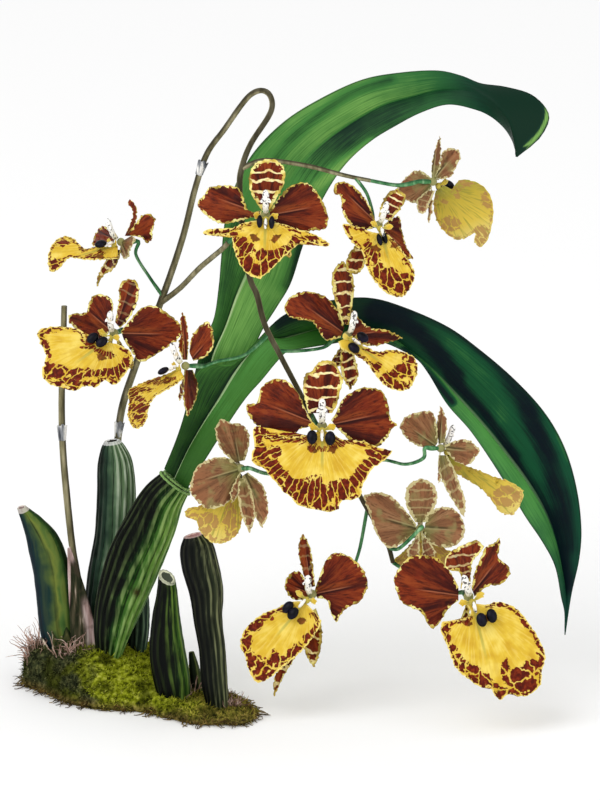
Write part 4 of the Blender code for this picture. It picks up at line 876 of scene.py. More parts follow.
# Leaves. Each row is left margin, fold and right margin (across, up on the viewing plane), then their depths.
leaves = dict(
    leaf_upper=dict(
        piece="leafUpper",
        rows=[((13.8, 91.1), (16.2, 88.7), (19.2, 85.3), (7.2, 8.6, 7.2)),
            ((19.6, 108.8), (23.2, 105.6), (27.2, 101.2), (7, 9.5, 7)),
            ((22.8, 126), (27.6, 122.8), (34.8, 116), (7, 10, 6.5)),
            ((27.2, 142.8), (30.8, 137.2), (45.2, 135.2), (8, 10.5, 6.5)),
            ((31.6, 152.8), (36, 149.2), (50.8, 147.6), (8, 11, 7)),
            ((33.6, 166), (40.4, 161.2), (56.8, 157.2), (8, 12, 8)),
            ((34.4, 175.2), (44.8, 171.2), (62.4, 166.8), (8, 12.5, 9)),
            ((36, 191.2), (51.2, 186), (67.2, 181.6), (9, 13.5, 10)),
            ((40, 205.2), (57.6, 199.2), (72.4, 194.8), (10, 15, 11)),
            ((47.6, 218.8), (65.2, 212.4), (79.2, 207.2), (11, 16, 12)),
            ((60, 231.2), (74.8, 222.4), (86, 216), (12, 17, 12)),
            ((74.8, 240.4), (86, 230.4), (94.8, 223.6), (13, 18, 12)),
            ((90.8, 247.6), (98, 237.2), (104, 229.2), (14, 18, 12)),
            ((106, 250.4), (110, 240.8), (114, 234.4), (14, 17, 11)),
            ((120.8, 251.2), (122.4, 243.6), (124.8, 237.6), (13, 14, 9)),
            ((130, 249.2), (132.4, 243.2), (135.6, 235.6), (12, 10, 7)),
            ((138, 246), (139.2, 241.2), (142, 232.8), (11, 6, 6)),
            ((148, 244.6), (144, 238), (147.2, 228.4), (11, 3, 5)),
            ((158.8, 241.2), (148.8, 232), (150.4, 223.6), (11, 1, 4)),
            ((165.2, 233.2), (151.2, 224.8), (151.6, 220), (9, 0, 2)),
            ((161.2, 224), (152, 219.8), (152, 218.4), (5, 0, 1)),
            ((152.4, 217), (152, 216.8), (151.8, 216.8), (0.5, 0, 0))]),
    leaf_lower=dict(
        piece="leafLower",
        rows=[((11.6, 92.4), (15.6, 88.6), (20.6, 84), (3.2, 5.6, 3.2)),
            ((16.4, 104), (21.2, 100.4), (28, 96), (0.5, 5.5, 0.5)),
            ((20, 115.2), (27.6, 111.2), (37.2, 110.4), (-0.5, 5, -0.5)),
            ((22.4, 126.8), (34, 120.8), (44.4, 120.8), (-1, 4, -1)),
            ((27.6, 133.6), (40, 130.8), (50.8, 128), (-1, 3, -1)),
            ((38.8, 133.6), (46, 139.2), (56.4, 134.8), (0, 3, 0)),
            ((46.8, 141.6), (52.4, 144.8), (60.8, 139.2), (1, 4, 1)),
            ((58, 152.8), (60, 144.8), (66, 140.4), (2, 6, 1)),
            ((68, 157.2), (72, 148), (76, 142), (3, 9, 3)), ((80, 160), (86, 150), (89.2, 144), (4, 11, 6)),
            ((93.2, 160.8), (98, 148), (100, 142.8), (5, 12, 8)),
            ((106, 157.6), (110.8, 139.2), (112, 136.8), (5, 12, 10)),
            ((124.4, 149.6), (118.8, 132.4), (117.2, 130.8), (4, 11, 9)),
            ((138, 140), (129.2, 121.2), (124.8, 118.4), (3, 10, 7)),
            ((152, 128), (139.6, 109.6), (134, 108), (2, 9, 5)),
            ((164, 114.8), (148.8, 98), (142.4, 96), (1, 8, 3)),
            ((172, 100.8), (156.4, 88), (149.2, 85.2), (0, 7, 1)),
            ((176.8, 84.8), (163.2, 77.2), (156.4, 73.2), (-1, 5, -1)),
            ((178.8, 68.8), (168, 66), (163.2, 63.2), (-2, 3, -3)),
            ((178, 56), (170.8, 54), (168.4, 53.2), (-3, 0, -4)),
            ((175.2, 43.2), (172.8, 41.6), (170.8, 40.8), (-4, -3, -5)),
            ((173.8, 34.8), (173, 34.6), (172.2, 34.4), (-5, -4.5, -5)),
            ((172.6, 25.8), (172.4, 25.6), (172.2, 25.8), (-6, -6, -6))]))
leafMesh = dict(rows=170, columns=41, thick=0.85, rim=0.4, crease=0.1, belly=0.6)
# Painted light and shade on a leaf, from painted shade at -1 to painted light at 1: for its two halves at
# stations along it, then strokes as seen in the picture. A stroke has its shade, its width in mm, the side of
# the fold that it keeps to and the spots that it runs through. crease sets how strongly the pale fold line
# and the painted shade next to it show along the leaf.
leafShades = dict(
    leaf_upper=dict(
        halves=[(0, -0.6, -0.2), (0.12, -0.8, 0), (0.22, -0.7, 0.45), (0.33, -0.5, 0.45), (0.4, -0.1, 0.3),
            (0.46, 0.1, 0.2), (0.53, 0.3, -0.25), (0.59, 0.45, -0.85), (0.68, 0.5, -0.9),
            (0.76, 0.25, -0.75), (0.83, -0.3, -0.6), (0.88, -0.9, -0.8), (1, -0.9, -0.7)],
        crease=[(0, 1), (0.3, 1), (0.36, 0.4), (0.42, 0)],
        strokes=[(-1, 7, 0, [(500, 86), (522, 98), (534, 112), (534, 130), (522, 144)]),
            (0.7, 1.4, 0, [(543, 102), (546, 116), (538, 134), (524, 148)]),
            (-0.6, 3, -1, [(226, 300), (229, 270), (232, 240), (242, 210)]),
            (-0.7, 3.4, 1, [(288, 285), (297, 262), (304, 240), (312, 215)]),
            (0.6, 2.6, 1, [(318, 186), (345, 164), (372, 146)]),
            (-0.5, 2, -1, [(262, 180), (285, 146), (315, 118), (350, 95), (390, 80)])]),
    leaf_lower=dict(
        halves=[(0, -0.5, -0.1), (0.1, -0.7, 0.3), (0.2, -0.5, 0.45), (0.28, -0.6, 0.4), (0.34, -0.3, -0.3),
            (0.42, 0, 0), (0.48, 0, 0.55), (0.6, 0, 0.85), (0.76, 0, 0.8), (0.86, 0, 0.5), (0.94, 0, 0),
            (1, 0, 0)],
        crease=[(0, 1), (0.2, 1), (0.28, 0.7), (0.34, 0), (0.5, 0), (0.6, 0.25), (0.75, 0.2), (0.85, 0)],
        strokes=[
            (-1, 4.4, -1, [(372, 312), (405, 322), (432, 344), (456, 374)]),
            (-1, 2.8, -1, [(452, 376), (478, 404), (497, 428), (516, 456)]),
            (-1, 5.0, -1, [(516, 470), (534, 496), (548, 520), (558, 550), (566, 585)]),
            (0.15, 2.6, -1, [(450, 340), (464, 352), (480, 370), (496, 396), (506, 418)]),
            (-0.9, 4.6, -1, [(380, 303), (420, 307), (460, 327), (494, 356), (516, 386), (533, 420),
            (548, 455), (556, 482), (564, 510), (568, 545)]),
            (0.35, 1.4, -1, [(505, 345), (536, 384), (556, 424), (568, 460)]),
            (-0.8, 1.6, 1, [(404, 352), (430, 376), (452, 402)]),
            (-0.8, 3.2, -1, [(276, 322), (300, 314), (326, 312)])]))


def leafShade(spots, shares, rows, shades):
    # the painted light and shade on each spot of a leaf, its halves first and then each stroke over them
    stations = np.array(shades["halves"])
    along = np.linspace(0, 1, rows)
    left, right = (np.repeat(np.interp(along, stations[:, 0], stations[:, k]), len(shares)) for k in (1, 2))
    across = np.tile(shares, rows)
    turned = np.clip(across / 0.06 + 0.5, 0, 1)
    shade = (left * (1 - turned) + right * turned) * (1 - 0.45 * np.abs(across) ** 2)
    for strength, width, side, knots in shades["strokes"]:
        line = curveThrough([onPlane(knot) for knot in knots], 80)
        gap = norm(spots[:, None, :] - line[None], axis=2).min(axis=1)
        laid = np.exp(-(gap / width) ** 3) * (np.clip(across * side / 0.06, 0, 1) if side else 1)
        shade = shade * (1 - laid) + strength * laid
    creases = np.array(shades["crease"])
    return shade, np.repeat(np.interp(along, creases[:, 0], creases[:, 1], right=0), len(shares))


# Leaf skin: leathery and smooth, with fine lengthwise veins and a paler midrib; painted light and shade lie
# over its halves and in strokes, and painted shade lies in the fold next to the midrib
def leafFinish(name, ground, pale, dark, light):
    made, add, shader, read = startFinish(name, leafMarks, roughness=0.45, gloss=0.1)
    lengthwise = add("CombineXYZ", [add("Math", [read.across, 11.0], **times),
        add("Math", [read.along, 4.0], **times), 0.0])
    veins = add("TexNoise", {"Vector": lengthwise, "Scale": 3.0, "Detail": 4.0, "Roughness": 0.6})
    mottle = grain(add, read, 14, detail=3.0)
    colour = add("ValToRGB", [read.along], ramp=ground)
    shade = add("Math", [read.shade, add("MapRange", [mottle, 0.3, 0.7, -0.13, 0.13])], **plus)
    shade = add("Math", [shade, add("MapRange", [veins, 0.35, 0.65, 0.16, -0.16])], **plus)
    aside = add("Math", [read.across], operation="ABSOLUTE")
    line = add("Math", [add("MapRange", [read.across, -0.08, -0.03], **soft),
        add("MapRange", [read.across, 0.08, 0.03], **soft)], **times)
    # painted shade in the fold, in a band next to the pale midrib on one side
    under = add("Math", [add("MapRange", [read.across, -0.22, -0.08, 0.0, 0.8], **soft),
        add("MapRange", [read.across, -0.06, -0.04, 1.0, 0.0], **soft)], **times)
    line, under = (add("Math", [amount, read.crease], **times) for amount in (line, under))
    # the light colour is painted light and the dark colour painted shade
    colour = coats(add, colour, (light, shade, 0.0, 1.0), (dark, shade, 0.0, -1.0),
        ("#0b2a14", veins, 0.52, 0.75, 0.4), ("#0a1f12", aside, 0.955, 0.985, 0.6), (dark, under),
        (pale, line))
    dress(shader, colour, veins, 0.12)
    return made


# each leaf: ground colours along it, the pale midrib, the painted shade and the painted light
leafSkins = dict(
    leaf_upper=leafFinish(
        "leatheryUpperLeaf",
        [(0.0, "#2f5a22"), (0.15, "#3f7530"), (0.35, "#4f8b3e"), (0.52, "#4c8a42"), (0.66, "#437f3a"),
            (0.78, "#2b6532"), (0.86, "#0f3f2a"), (1.0, "#062a20")],
        "#b9d69c", "#05281a", "#82b45a"),
    leaf_lower=leafFinish(
        "leatheryLowerLeaf",
        [(0.0, "#2f5a22"), (0.12, "#447c30"), (0.25, "#4a8438"), (0.33, "#2b6120"), (0.4, "#0b2a1c"),
            (0.47, "#0d3324"), (0.56, "#14502e"), (0.75, "#0f4c30"), (1.0, "#07302a")],
        "#b4d3a0", "#02111a", "#559a4a"))


def buildLeaf(node, leaf):
    rows, columns = leafMesh["rows"], leafMesh["columns"]
    knots = []
    for left, fold, right, depths in leaf["rows"]:
        knots.append([*fold, depths[1], *left, depths[0], *right, depths[2]])
    smooth = curveThrough(knots, rows)
    shares = np.sin(pi / 2 * np.linspace(-1, 1, columns))
    middle, spots = np.zeros((rows, columns, 3)), np.zeros((rows, columns, 2))
    for r, row in enumerate(smooth):
        fold, left, right = (np.array(seen(*row[k:k + 3])) for k in (0, 3, 6))
        for c, share in enumerate(shares):
            side = left if share < 0 else right
            crease = leafMesh["crease"]     # the fold is rounded, and each half bellies a little
            near = math.sqrt(share * share + crease * crease) - crease
            near = near / (math.sqrt(1 + crease * crease) - crease)
            middle[r, c] = fold + (side - fold) * (0.75 * abs(share) + 0.25 * near)
            belly = leafMesh["belly"] * sin(pi * abs(share)) * min(1, r / 12, (rows - 1 - r) / 12)
            middle[r, c] += np.array(viewAxes.col[2]) * belly
            spots[r, c] = row[0:2] + (row[3:5] - row[0:2] if share < 0 else row[6:8] - row[0:2]) * abs(share)
    normals = gridNormals(middle, viewAxes.col[2])
    thick = leafMesh["rim"] + (leafMesh["thick"] - leafMesh["rim"]) * (1 - np.abs(shares) ** 6)
    points, faces = gridSheet(middle, normals, np.broadcast_to(thick, (rows, columns)))
    heap = newHeap(leafMarks)
    shade, crease = leafShade(spots.reshape(-1, 2), shares, rows, leafShades[node])
    heapUp(heap, points, faces, along=np.tile(np.repeat(np.linspace(0, 1, rows), columns), 2),
        across=np.tile(shares, 2 * rows), shade=np.tile(shade, 2), crease=np.tile(crease, 2))
    declare(makePiece(leaf["piece"], heap, leafSkins[node], sharp=60), "leaf", node)


print("leaves")
for node, leaf in leaves.items():
    buildLeaf(node, leaf)


# Pseudobulbs, foot first: each station is across, up and half width. One list holds the colours from the left
# side to
# the right: the bulb's own colour, with painted shade on the left and painted light on the right. One colour
# is the painted highlight on the ribs, and crest sets how strong it is on the lit side.
bulbs = dict(
    pseudobulb_young=dict(
        piece="bulbYoung", depth=16, flat=0.62, ribs=6, groove=0.02,
        stations=[(-29.6, 15, 5.6), (-30, 20, 6.6), (-31.4, 28, 7.6), (-32.6, 40, 7.6), (-34.2, 52, 7.4),
            (-37, 62, 6.8), (-41, 69.5, 4.6), (-46, 76.8, 1.8)],
        cutFrom=0.965, slant=0.4,
        flank=[(0.06, "#061c27"), (0.3, "#16302b"), (0.44, "#47592c"), (0.54, "#6b7732"), (0.66, "#44612b"),
            (0.8, "#2b481e"), (0.95, "#182c14")],
        glow="#8a9440", crest=0.3, top="#8f7c78", rim="#e6dcd4"),
    pseudobulb_back=dict(
        piece="bulbBack", depth=24, flat=0.8, ribs=17, groove=0.045,
        stations=[(-15.2, 14, 4.6), (-14.8, 21, 5.8), (-14.2, 33, 6.9), (-12.4, 48, 7.6), (-9.2, 64, 7.9),
            (-8, 80, 8), (-8.4, 93.6, 7.3), (-9.2, 100.4, 5.2), (-9.6, 103.6, 3.2)],
        cutFrom=0.985, slant=0.0,
        flank=[(0.06, "#08130e"), (0.25, "#1f3628"), (0.5, "#4a6647"), (0.75, "#5c7652"), (0.95, "#425c38")],
        glow="#b3c2a8", crest=1.0, top="#1c1a18", rim="#ffffff"),
    pseudobulb_leafy=dict(
        piece="bulbLeafy", depth=5, flat=0.75, ribs=17, groove=0.05,
        stations=[(-11.2, 14, 4.8), (-10.6, 20, 5.9), (-9.2, 28.8, 8), (-6.4, 39.2, 9.9), (-0.8, 55.2, 11.2),
            (5.6, 69.2, 10.5), (10.4, 79.4, 9), (15.8, 86.6, 7)],
        cutFrom=2, slant=0.0,
        flank=[(0.1, "#010301"), (0.42, "#020803"), (0.56, "#12330c"), (0.7, "#3f6a26"), (0.86, "#6c9440"),
            (0.97, "#3c6829")],
        glow="#a3c274", crest=0.7, top="#1c3a1c", rim="#9cc07a", spot=(136, 593, 1.6)),
    pseudobulb_small=dict(piece="bulbSmall", depth=15, flat=0.8, ribs=12, groove=0.05,
        stations=[(-0.4, 12, 3.2), (-0.2, 18, 4), (0.4, 28, 4.9), (0.8, 40, 4.4), (0.6, 47, 2.4)], cutFrom=2,
        slant=0.0, flank=[(0.1, "#070d0a"), (0.5, "#111c15"), (0.9, "#21362a")], glow="#6f8a6c", crest=0.8,
        top="#3c5238", rim="#7d8f6c"),
    pseudobulb_cut=dict(
        piece="bulbCut", depth=-17, flat=0.78, ribs=12, groove=0.045,
        stations=[(16, -2, 5.6), (15.6, 1.6, 6.4), (14.4, 9, 7.4), (12.8, 20, 7.2), (12.4, 32, 5.8),
            (12.8, 42, 4.3), (12.8, 49.2, 3.4)],
        cutFrom=0.985, slant=0.75,
        flank=[(0.1, "#010202"), (0.45, "#040705"), (0.7, "#0f1e0b"), (0.95, "#34551c")], glow="#6c8a38",
        crest=0.75, top="#4c5244", rim="#eef0cf"),
    pseudobulb_front=dict(
        piece="bulbFront", depth=-23, flat=0.8, ribs=15, groove=0.045,
        stations=[(33, -4, 4), (32.8, -1.2, 4.6), (31.6, 8, 5.4), (30.8, 20, 5.4), (29.2, 32, 5.8),
            (28.4, 44, 7), (26, 54, 7.5), (24.6, 61.6, 6.7), (23.6, 66, 4.2)],
        cutFrom=0.99, slant=0.0,
        flank=[(0.1, "#020303"), (0.35, "#090d09"), (0.6, "#171d12"), (0.85, "#2b321f"), (0.97, "#181d12")],
        glow="#7a7f5a", crest=0.8, top="#a67c7a", rim="#e3c3be"),
    pseudobulb_shoot=dict(piece="bulbShoot", depth=-10, flat=0.8, ribs=6, groove=0.05,
        stations=[(25.2, 0.4, 2), (24.8, 4, 2.3), (23.6, 12, 2.1), (22.4, 18.8, 1.1)], cutFrom=2, slant=0.0,
        flank=[(0.1, "#0a0f0a"), (0.5, "#1a2612"), (0.9, "#34431d")], glow="#6f7a40", crest=0.6,
        top="#5b5f3a", rim="#7c7f55"))
bulbMesh = dict(rings=80, perRib=7, wrinkle=0.10, dish=0.6)


# Pseudobulb skin: smooth and fleshy, with painted shade on its left side and painted light on its right, a
# painted highlight on the crest of each rib and painted shade in the grooves between them
def bulbFinish(bulb):
    made, add, shader, read = startFinish("ribbed" + bulb["piece"][4:] + "Bulb", bulbMarks, roughness=0.45,
        gloss=0.08)
    stretch = grain(add, read, 3, detail=3.0, stretch=(1, 1, 0.13))
    mottle = grain(add, read, 7)
    # painted shade on the left side and painted light on the right, with a little random tone
    flank = add("Math", [read.aside, add("MapRange", [mottle, 0.25, 0.75, -0.2, 0.2])], **plus)
    colour = add("ValToRGB", [add("MapRange", [flank, -1.0, 1.0])], ramp=bulb["flank"])
    # a painted highlight on the crest of each rib and in fine lines, stronger on the lit side
    crest = add("MapRange", [read.ridge, 0.82, 0.98], **soft)
    bright = add("MapRange", [flank, -0.35, 0.55, 0.06, bulb["crest"]], **soft)
    patchy = add("MapRange", [stretch, 0.38, 0.58, 0.2, 1.0], **soft)
    lines = add("MapRange", [grain(add, read, 0.8, stretch=(1, 1, 0.06)), 0.56, 0.66, 0.0, 0.3], **soft)
    lines = add("Math", [lines, bright], **times)
    crest = add("Math", [add("Math", [crest, bright], **times), patchy], **times)
    # laid over it: the painted highlight lines and rib crests, painted shade in the grooves between the ribs,
    # and the brown spot
    colour = coats(add, colour, (bulb["glow"], lines), (bulb["glow"], crest),
        ("#020503", read.ridge, 0.55, 0.2, 0.75), ("#3b2a14", read.spot))
    end = add("Math", [read.cut, add("MapRange", [grain(add, read, 1.5), 0.3, 0.7, -0.3, 0.3])], **plus)
    end = add("MapRange", [end, 0.3, 0.7], **soft)
    colour = coats(add, colour, (bulb["rim"], add("MapRange", [read.cut, 0.2, 0.3])), (bulb["top"], end))
    dress(shader, colour, stretch, 0.2)
    return made


def buildBulb(node, bulb):
    count, sides = bulbMesh["rings"], bulbMesh["perRib"] * bulb["ribs"]
    stations = curveThrough(bulb["stations"], count)
    middles = [seen(across, up, bulb["depth"]) for across, up, _ in stations]
    toward = seen(0, 0, 1) - seen(0, 0, 0)
    rings, marks = [], {mark: [] for mark in bulbMarks}
    column, row, wide = bulb.get("spot", (0, 0, 1))
    across, up = onPlane((column, row))
    for i, (_, _, half) in enumerate(stations):
        way = (middles[min(i + 1, count - 1)] - middles[max(i - 1, 0)]).normalized()
        side = toward.cross(way).normalized()
        away = way.cross(side)
        slope = bulb["slant"] * max(0, (i / (count - 1) - 0.9) / 0.1)
        ring = []
        for k in range(sides):
            angle = 2 * pi * k / sides
            spot = Vector((cos(angle) * 1.3, sin(angle) * 1.3, i * 0.05 + bulb["depth"]))
            wander = 0.14 * noise.noise(spot)
            ridge = abs(cos(bulb["ribs"] * (angle + wander) / 2)) ** 0.6
            rough = bulbMesh["wrinkle"] * noise.noise(Vector((cos(angle) * 4, sin(angle) * 4, i * 0.22)))
            radius = half * (1 - bulb["groove"] * 2 * (1 - ridge)) + rough
            point = middles[i] + side * radius * cos(angle) + away * radius * bulb["flat"] * sin(angle)
            point += way * radius * slope * (0.8 * sin(angle) - 0.6 * cos(angle))
            ring.append(point)
            gap = math.hypot(point.x - across, point.y * rise + point.z * level - up)
            cut = 0.25 if i / (count - 1) > bulb["cutFrom"] else 0.0
            stain = math.exp(-(gap / wide) ** 2)
            # aside runs from -1 at the left side to 1 at the right, for the painted shade and painted light
            for mark, value in zip(bulbMarks, (side.x * cos(angle), ridge, cut, stain)):
                marks[mark].append(value)
        rings.append(ring)
    top = sum(rings[-1], Vector()) / sides
    last = rings[-1]
    for share, drop, cut in ((0.9, 0.15, 0.25), (0.72, 0.05, 0.3), (0.62, -bulbMesh["dish"], 1),
            (0.25, -bulbMesh["dish"] * 1.4, 1)):
        rings.append([top + (p - top) * share + way * drop for p in last])
        for mark, value in zip(bulbMarks, (0.3, 0.7, cut, 0)):
            marks[mark] += [value] * sides
    heap = newHeap(bulbMarks)
    heapUp(heap, *skin(rings), **marks)
    if node == "pseudobulb_leafy":     # the rolled edge of the leaf foot, round the top of this one
        for share, drop, thick, cut in ((1.04, 0.0, 0.55, 0.25), (0.9, 1.3, 0.5, 0.25)):
            loop = [top + (p - top) * share + way * drop for p in last]
            centre = sum(loop, Vector()) / sides
            rounds = []
            for a in (2 * pi * k / 8 for k in range(8)):
                high = way * thick * sin(a)
                rounds.append([p + (p - centre).normalized() * thick * cos(a) + high for p in loop])
            points = [p for ring in rounds for p in ring]
            faces = []
            for r in range(8):
                here, above = r * sides, (r + 1) % 8 * sides
                for k in range(sides):
                    after = (k + 1) % sides
                    faces.append((here + k, here + after, above + after, above + k))
            heapUp(heap, points, faces, aside=0.5, ridge=0.7, cut=cut)
    declare(makePiece(bulb["piece"], heap, bulbFinish(bulb), sharp=70), "bulb", node)


print("pseudobulbs")
for node, bulb in bulbs.items():
    buildBulb(node, bulb)


# Stems: each knot is across, up, depth and radius. Geometry Nodes sweep them all in one tree.
stems = dict(
    main=[(-9.2, 15, 34, 1.5), (-8.8, 40, 34, 1.5), (-8, 72, 33, 1.5), (-6.8, 110, 31, 1.5),
        (0, 134, 27, 1.45), (10, 158.8, 22, 1.4), (18.8, 184, 17, 1.3), (24, 204, 14, 1.25),
        (28.8, 218, 11, 1.2), (36, 228, 8, 1.15), (43.2, 238, 4, 1.15), (47, 241.8, 2, 1.15),
        (50.8, 243, 0, 1.15), (53.8, 241.4, -2, 1.15), (55, 237.4, -4, 1.15), (53.4, 232.4, -6, 1.15),
        (46.4, 221.6, -8.5, 1.15), (42.8, 212, -9, 1.2), (42, 204, -8, 1.2), (43.2, 188, -7, 1.2),
        (46, 168.8, -9, 1.2), (48.8, 162, -10, 1.2), (52, 150, -11, 1.15), (58, 138, -12, 1.1),
        (66, 122.8, -13, 1.05), (76, 104, -15, 1), (84, 92, -16, 1), (88.8, 84, -17, 0.95),
        (92, 78, -17, 0.95), (98, 68, -18, 0.95), (101.2, 62, -18, 0.95), (103.2, 55, -18, 0.9)],
    side=[(10, 158.8, 22, 1.2), (18, 164.8, 15, 1.1), (26, 172.8, 6, 1.1), (34.8, 180, -5, 1.05),
        (37.6, 182.8, -9, 1)],
    upper=[(42.8, 212, -9, 1.1), (50, 215, -9.5, 0.95), (58, 214.8, -10, 0.9), (70, 212.8, -10, 0.9),
        (84, 209.2, -9, 0.85), (94, 207.2, -8, 0.8)])
stalks = dict(flower_01=[(37.6, 182.8, -9, 1), (43, 188, -11.5, 0.8)],
    flower_02=[(11.5, 161, 21, 0.9), (6, 168.8, 21, 0.7), (0.4, 178, 17, 0.7)],
    flower_03=[(2.4, 140, 26, 0.9), (0, 144, 20, 0.7)],
    flower_04=[(53.6, 146, -11, 0.8), (44, 138, -18, 0.7), (33, 135.4, -22, 0.7)],
    flower_05=[(88, 208.4, -8.8, 0.8), (92.6, 202, -6, 0.7), (95, 194, -5, 0.7)],
    flower_06=[(94, 207.2, -8, 0.8), (104, 205.4, -10, 0.8), (110, 206, -11, 1)],
    flower_07=[(57, 139.5, -12, 0.8), (66, 139.6, -9, 0.7), (76, 141.2, -8, 0.7)],
    flower_08=[(70.5, 114.5, -14, 0.8), (73, 110, -16, 0.8)],
    flower_09=[(84, 92, -16, 0.8), (66, 93, -15, 0.7), (54, 90.6, -20, 0.8)],
    flower_10=[(84, 92, -16, 0.8), (98, 96, -18, 0.7), (108, 94.4, -26, 0.7), (115, 96.8, -32, 0.8)],
    flower_11=[(102, 60.6, -18, 0.8), (106, 61, -25, 0.8)],
    flower_12=[(92.8, 76, -17, 0.8), (89.2, 58, -14, 0.7), (83, 44, -14, 0.7)],
    flower_13=[(103.2, 55, -18, 0.8), (114, 48, -19, 0.7), (124, 43, -23, 0.7)])
oldStalk = dict(
    path=[(-18.6, 16, 16, 1.25), (-20, 28, 16, 1.25), (-22, 40, 16, 1.25), (-24, 52, 15.4, 1.3),
        (-25.6, 61, 15, 1.4), (-27.6, 80, 15, 1.45), (-29.2, 100, 15, 1.4), (-29.6, 120, 15, 1.35),
        (-28.8, 144, 15, 1.25), (-28.4, 157.6, 15, 1.2)],
    bractAt=0.645)
stemSweep = dict(sides=14, step=1.2, knobble=0.12, knobbleWidth=4.0)
stalkSweep = dict(stemSweep, step=0.8)
bracts = dict(length=7.0, below=3, foot=1.35, mouth=1.95, thick=0.3, rows=14, columns=33,
    mainAt=(0.206, 0.459))


def startTree(name, sockets):
    # a new tree for shapes: what adds its nodes, and what it is given
    tree = bpy.data.node_groups.new(name, "GeometryNodeTree")
    tree.interface.new_socket("Geometry", in_out="OUTPUT", socket_type="NodeSocketGeometry")
    for socket, kind in [("Geometry", "Geometry"), *sockets]:
        tree.interface.new_socket(socket, in_out="INPUT", socket_type="NodeSocket" + kind)
    add = partial(addNode, tree)
    return tree, add, add("NodeGroupInput").outputs


def sweepTree(finish):
    # a tree that sweeps a round along every spline, thick as its radius, with an uneven skin
    tree, add, given = startTree("sweepStems", [("Sides", "Int"), ("Knobble", "Float"),
        ("Knobble Width", "Float")])
    spline = add("SplineParameter")
    ring = add("CurvePrimitiveCircle", {"Resolution": given["Sides"], "Radius": 1.0})
    ring = add("StoreNamedAttribute", {"Geometry": ring, "Name": "turn",
        "Value": add("Math", [add("Math", [spline.outputs["Factor"], 2 * pi], **times)], operation="SINE")},
        data_type="FLOAT", domain="POINT")
    swept = add("CurveToMesh", {"Curve": given["Geometry"], "Profile Curve": ring, "Fill Caps": True,
        "Scale": add("InputRadius")})
    lumps = add("TexNoise", {"Scale": add("Math", [1.0, given["Knobble Width"]], operation="DIVIDE"),
        "Detail": 2.0})
    lumps = add("Math", [add("Math", [lumps, 0.5], **apart), given["Knobble"]], **times)
    out = add("VectorMath", {0: add("InputNormal"), "Scale": lumps}, operation="SCALE")
    swept = add("SetPosition", {"Geometry": swept, "Offset": out})
    swept = add("SetShadeSmooth", {"Geometry": swept})
    swept = add("RealizeInstances", {"Geometry": swept})
    swept = add("SetMaterial", {"Geometry": swept, "Material": finish})
    add("NodeGroupOutput", {"Geometry": swept})
    return tree


def runTree(piece, tree, **inputs):
    # puts the tree on a piece, sets its inputs and returns the result as a plain mesh object
    modifier = piece.modifiers.new("grown", "NODES")
    modifier.node_group = tree
    for item in tree.interface.items_tree:
        key = item.name[:1].lower() + item.name[1:].replace(" ", "")
        if item.in_out == "INPUT" and key in inputs:
            modifier[item.identifier] = inputs[key]
    graph = bpy.context.evaluated_depsgraph_get()
    mesh = bpy.data.meshes.new_from_object(piece.evaluated_get(graph), depsgraph=graph)
    name = piece.name
    source = piece.data
    bpy.data.objects.remove(piece)
    (bpy.data.curves if isinstance(source, bpy.types.Curve) else bpy.data.meshes).remove(source)
    mesh.name = name
    return newObject(name, mesh)


def sweepPaths(name, paths, tree, sweep):
    curve = bpy.data.curves.new(name, "CURVE")
    curve.dimensions = "3D"
    for path in paths:
        places = np.array([[*p, radius] for p, radius in path])
        long = float(distances(places[:, :3])[-1])
        fine = curveThrough(places, max(4, round(long / sweep["step"])))
        spline = curve.splines.new("POLY")
        spline.points.add(len(fine) - 1)
        for point, (x, y, z, radius) in zip(spline.points, fine):
            point.co = (x * 0.001, y * 0.001, z * 0.001, 1)
            point.radius = radius * 0.001
    return runTree(newObject(name, curve), tree, sides=sweep["sides"], knobble=sweep["knobble"] * 0.001,
        knobbleWidth=sweep["knobbleWidth"] * 0.001)


# Stem skin: smooth and slightly waxy, olive brown with darker streaks, and green where it nears a flower,
# with painted shade down one side
def stemFinish():
    made, add, shader, read = startFinish("oliveStem", stemMarks, roughness=0.55, gloss=0.1)
    streaks = grain(add, read, 2.4, detail=3.0, stretch=(1, 1, 0.2))
    brown = add("ValToRGB", [streaks], ramp=[(0.3, "#4d4830"), (0.5, "#7b7556"), (0.72, "#a69e7e")])
    # painted shade down one side of the brown stems and of the green stalks, by the turn round each ring
    brown = coats(add, brown, ("#211d14", read.turn, -0.1, -0.8, 0.75))
    green = add("ValToRGB", [streaks], ramp=[(0.3, "#2a5f3a"), (0.5, "#4f8a58"), (0.72, "#96c092")])
    green = coats(add, green, ("#10331f", read.turn, 0.2, -0.8, 0.6))
    paper = add("ValToRGB", [streaks], ramp=[(0.36, "#3e4146"), (0.5, "#8d9094"), (0.62, "#f2f0ea")])
    dress(shader, coats(add, brown, (green, read.green), (paper, read.scale)), streaks, 0.15)
    return made


stemSkin = stemFinish()
sweeping = sweepTree(stemSkin)


def setMark(piece, name, value):
    mesh = piece.data
    mark = mesh.attributes.get(name) or mesh.attributes.new(name, "FLOAT", "POINT")
    mark.data.foreach_set("value", [value] * len(mesh.vertices))


def joinPieces(name, pieces):
    # one object from several, keeping their marks
    shape = bmesh.new()
    for piece in pieces:
        shape.from_mesh(piece.data)
    mesh = bpy.data.meshes.new(name)
    shape.to_mesh(mesh)
    shape.free()
    mesh.materials.append(pieces[0].data.materials[0])
    for piece in pieces:
        bpy.data.objects.remove(piece)
    return newObject(name, mesh)


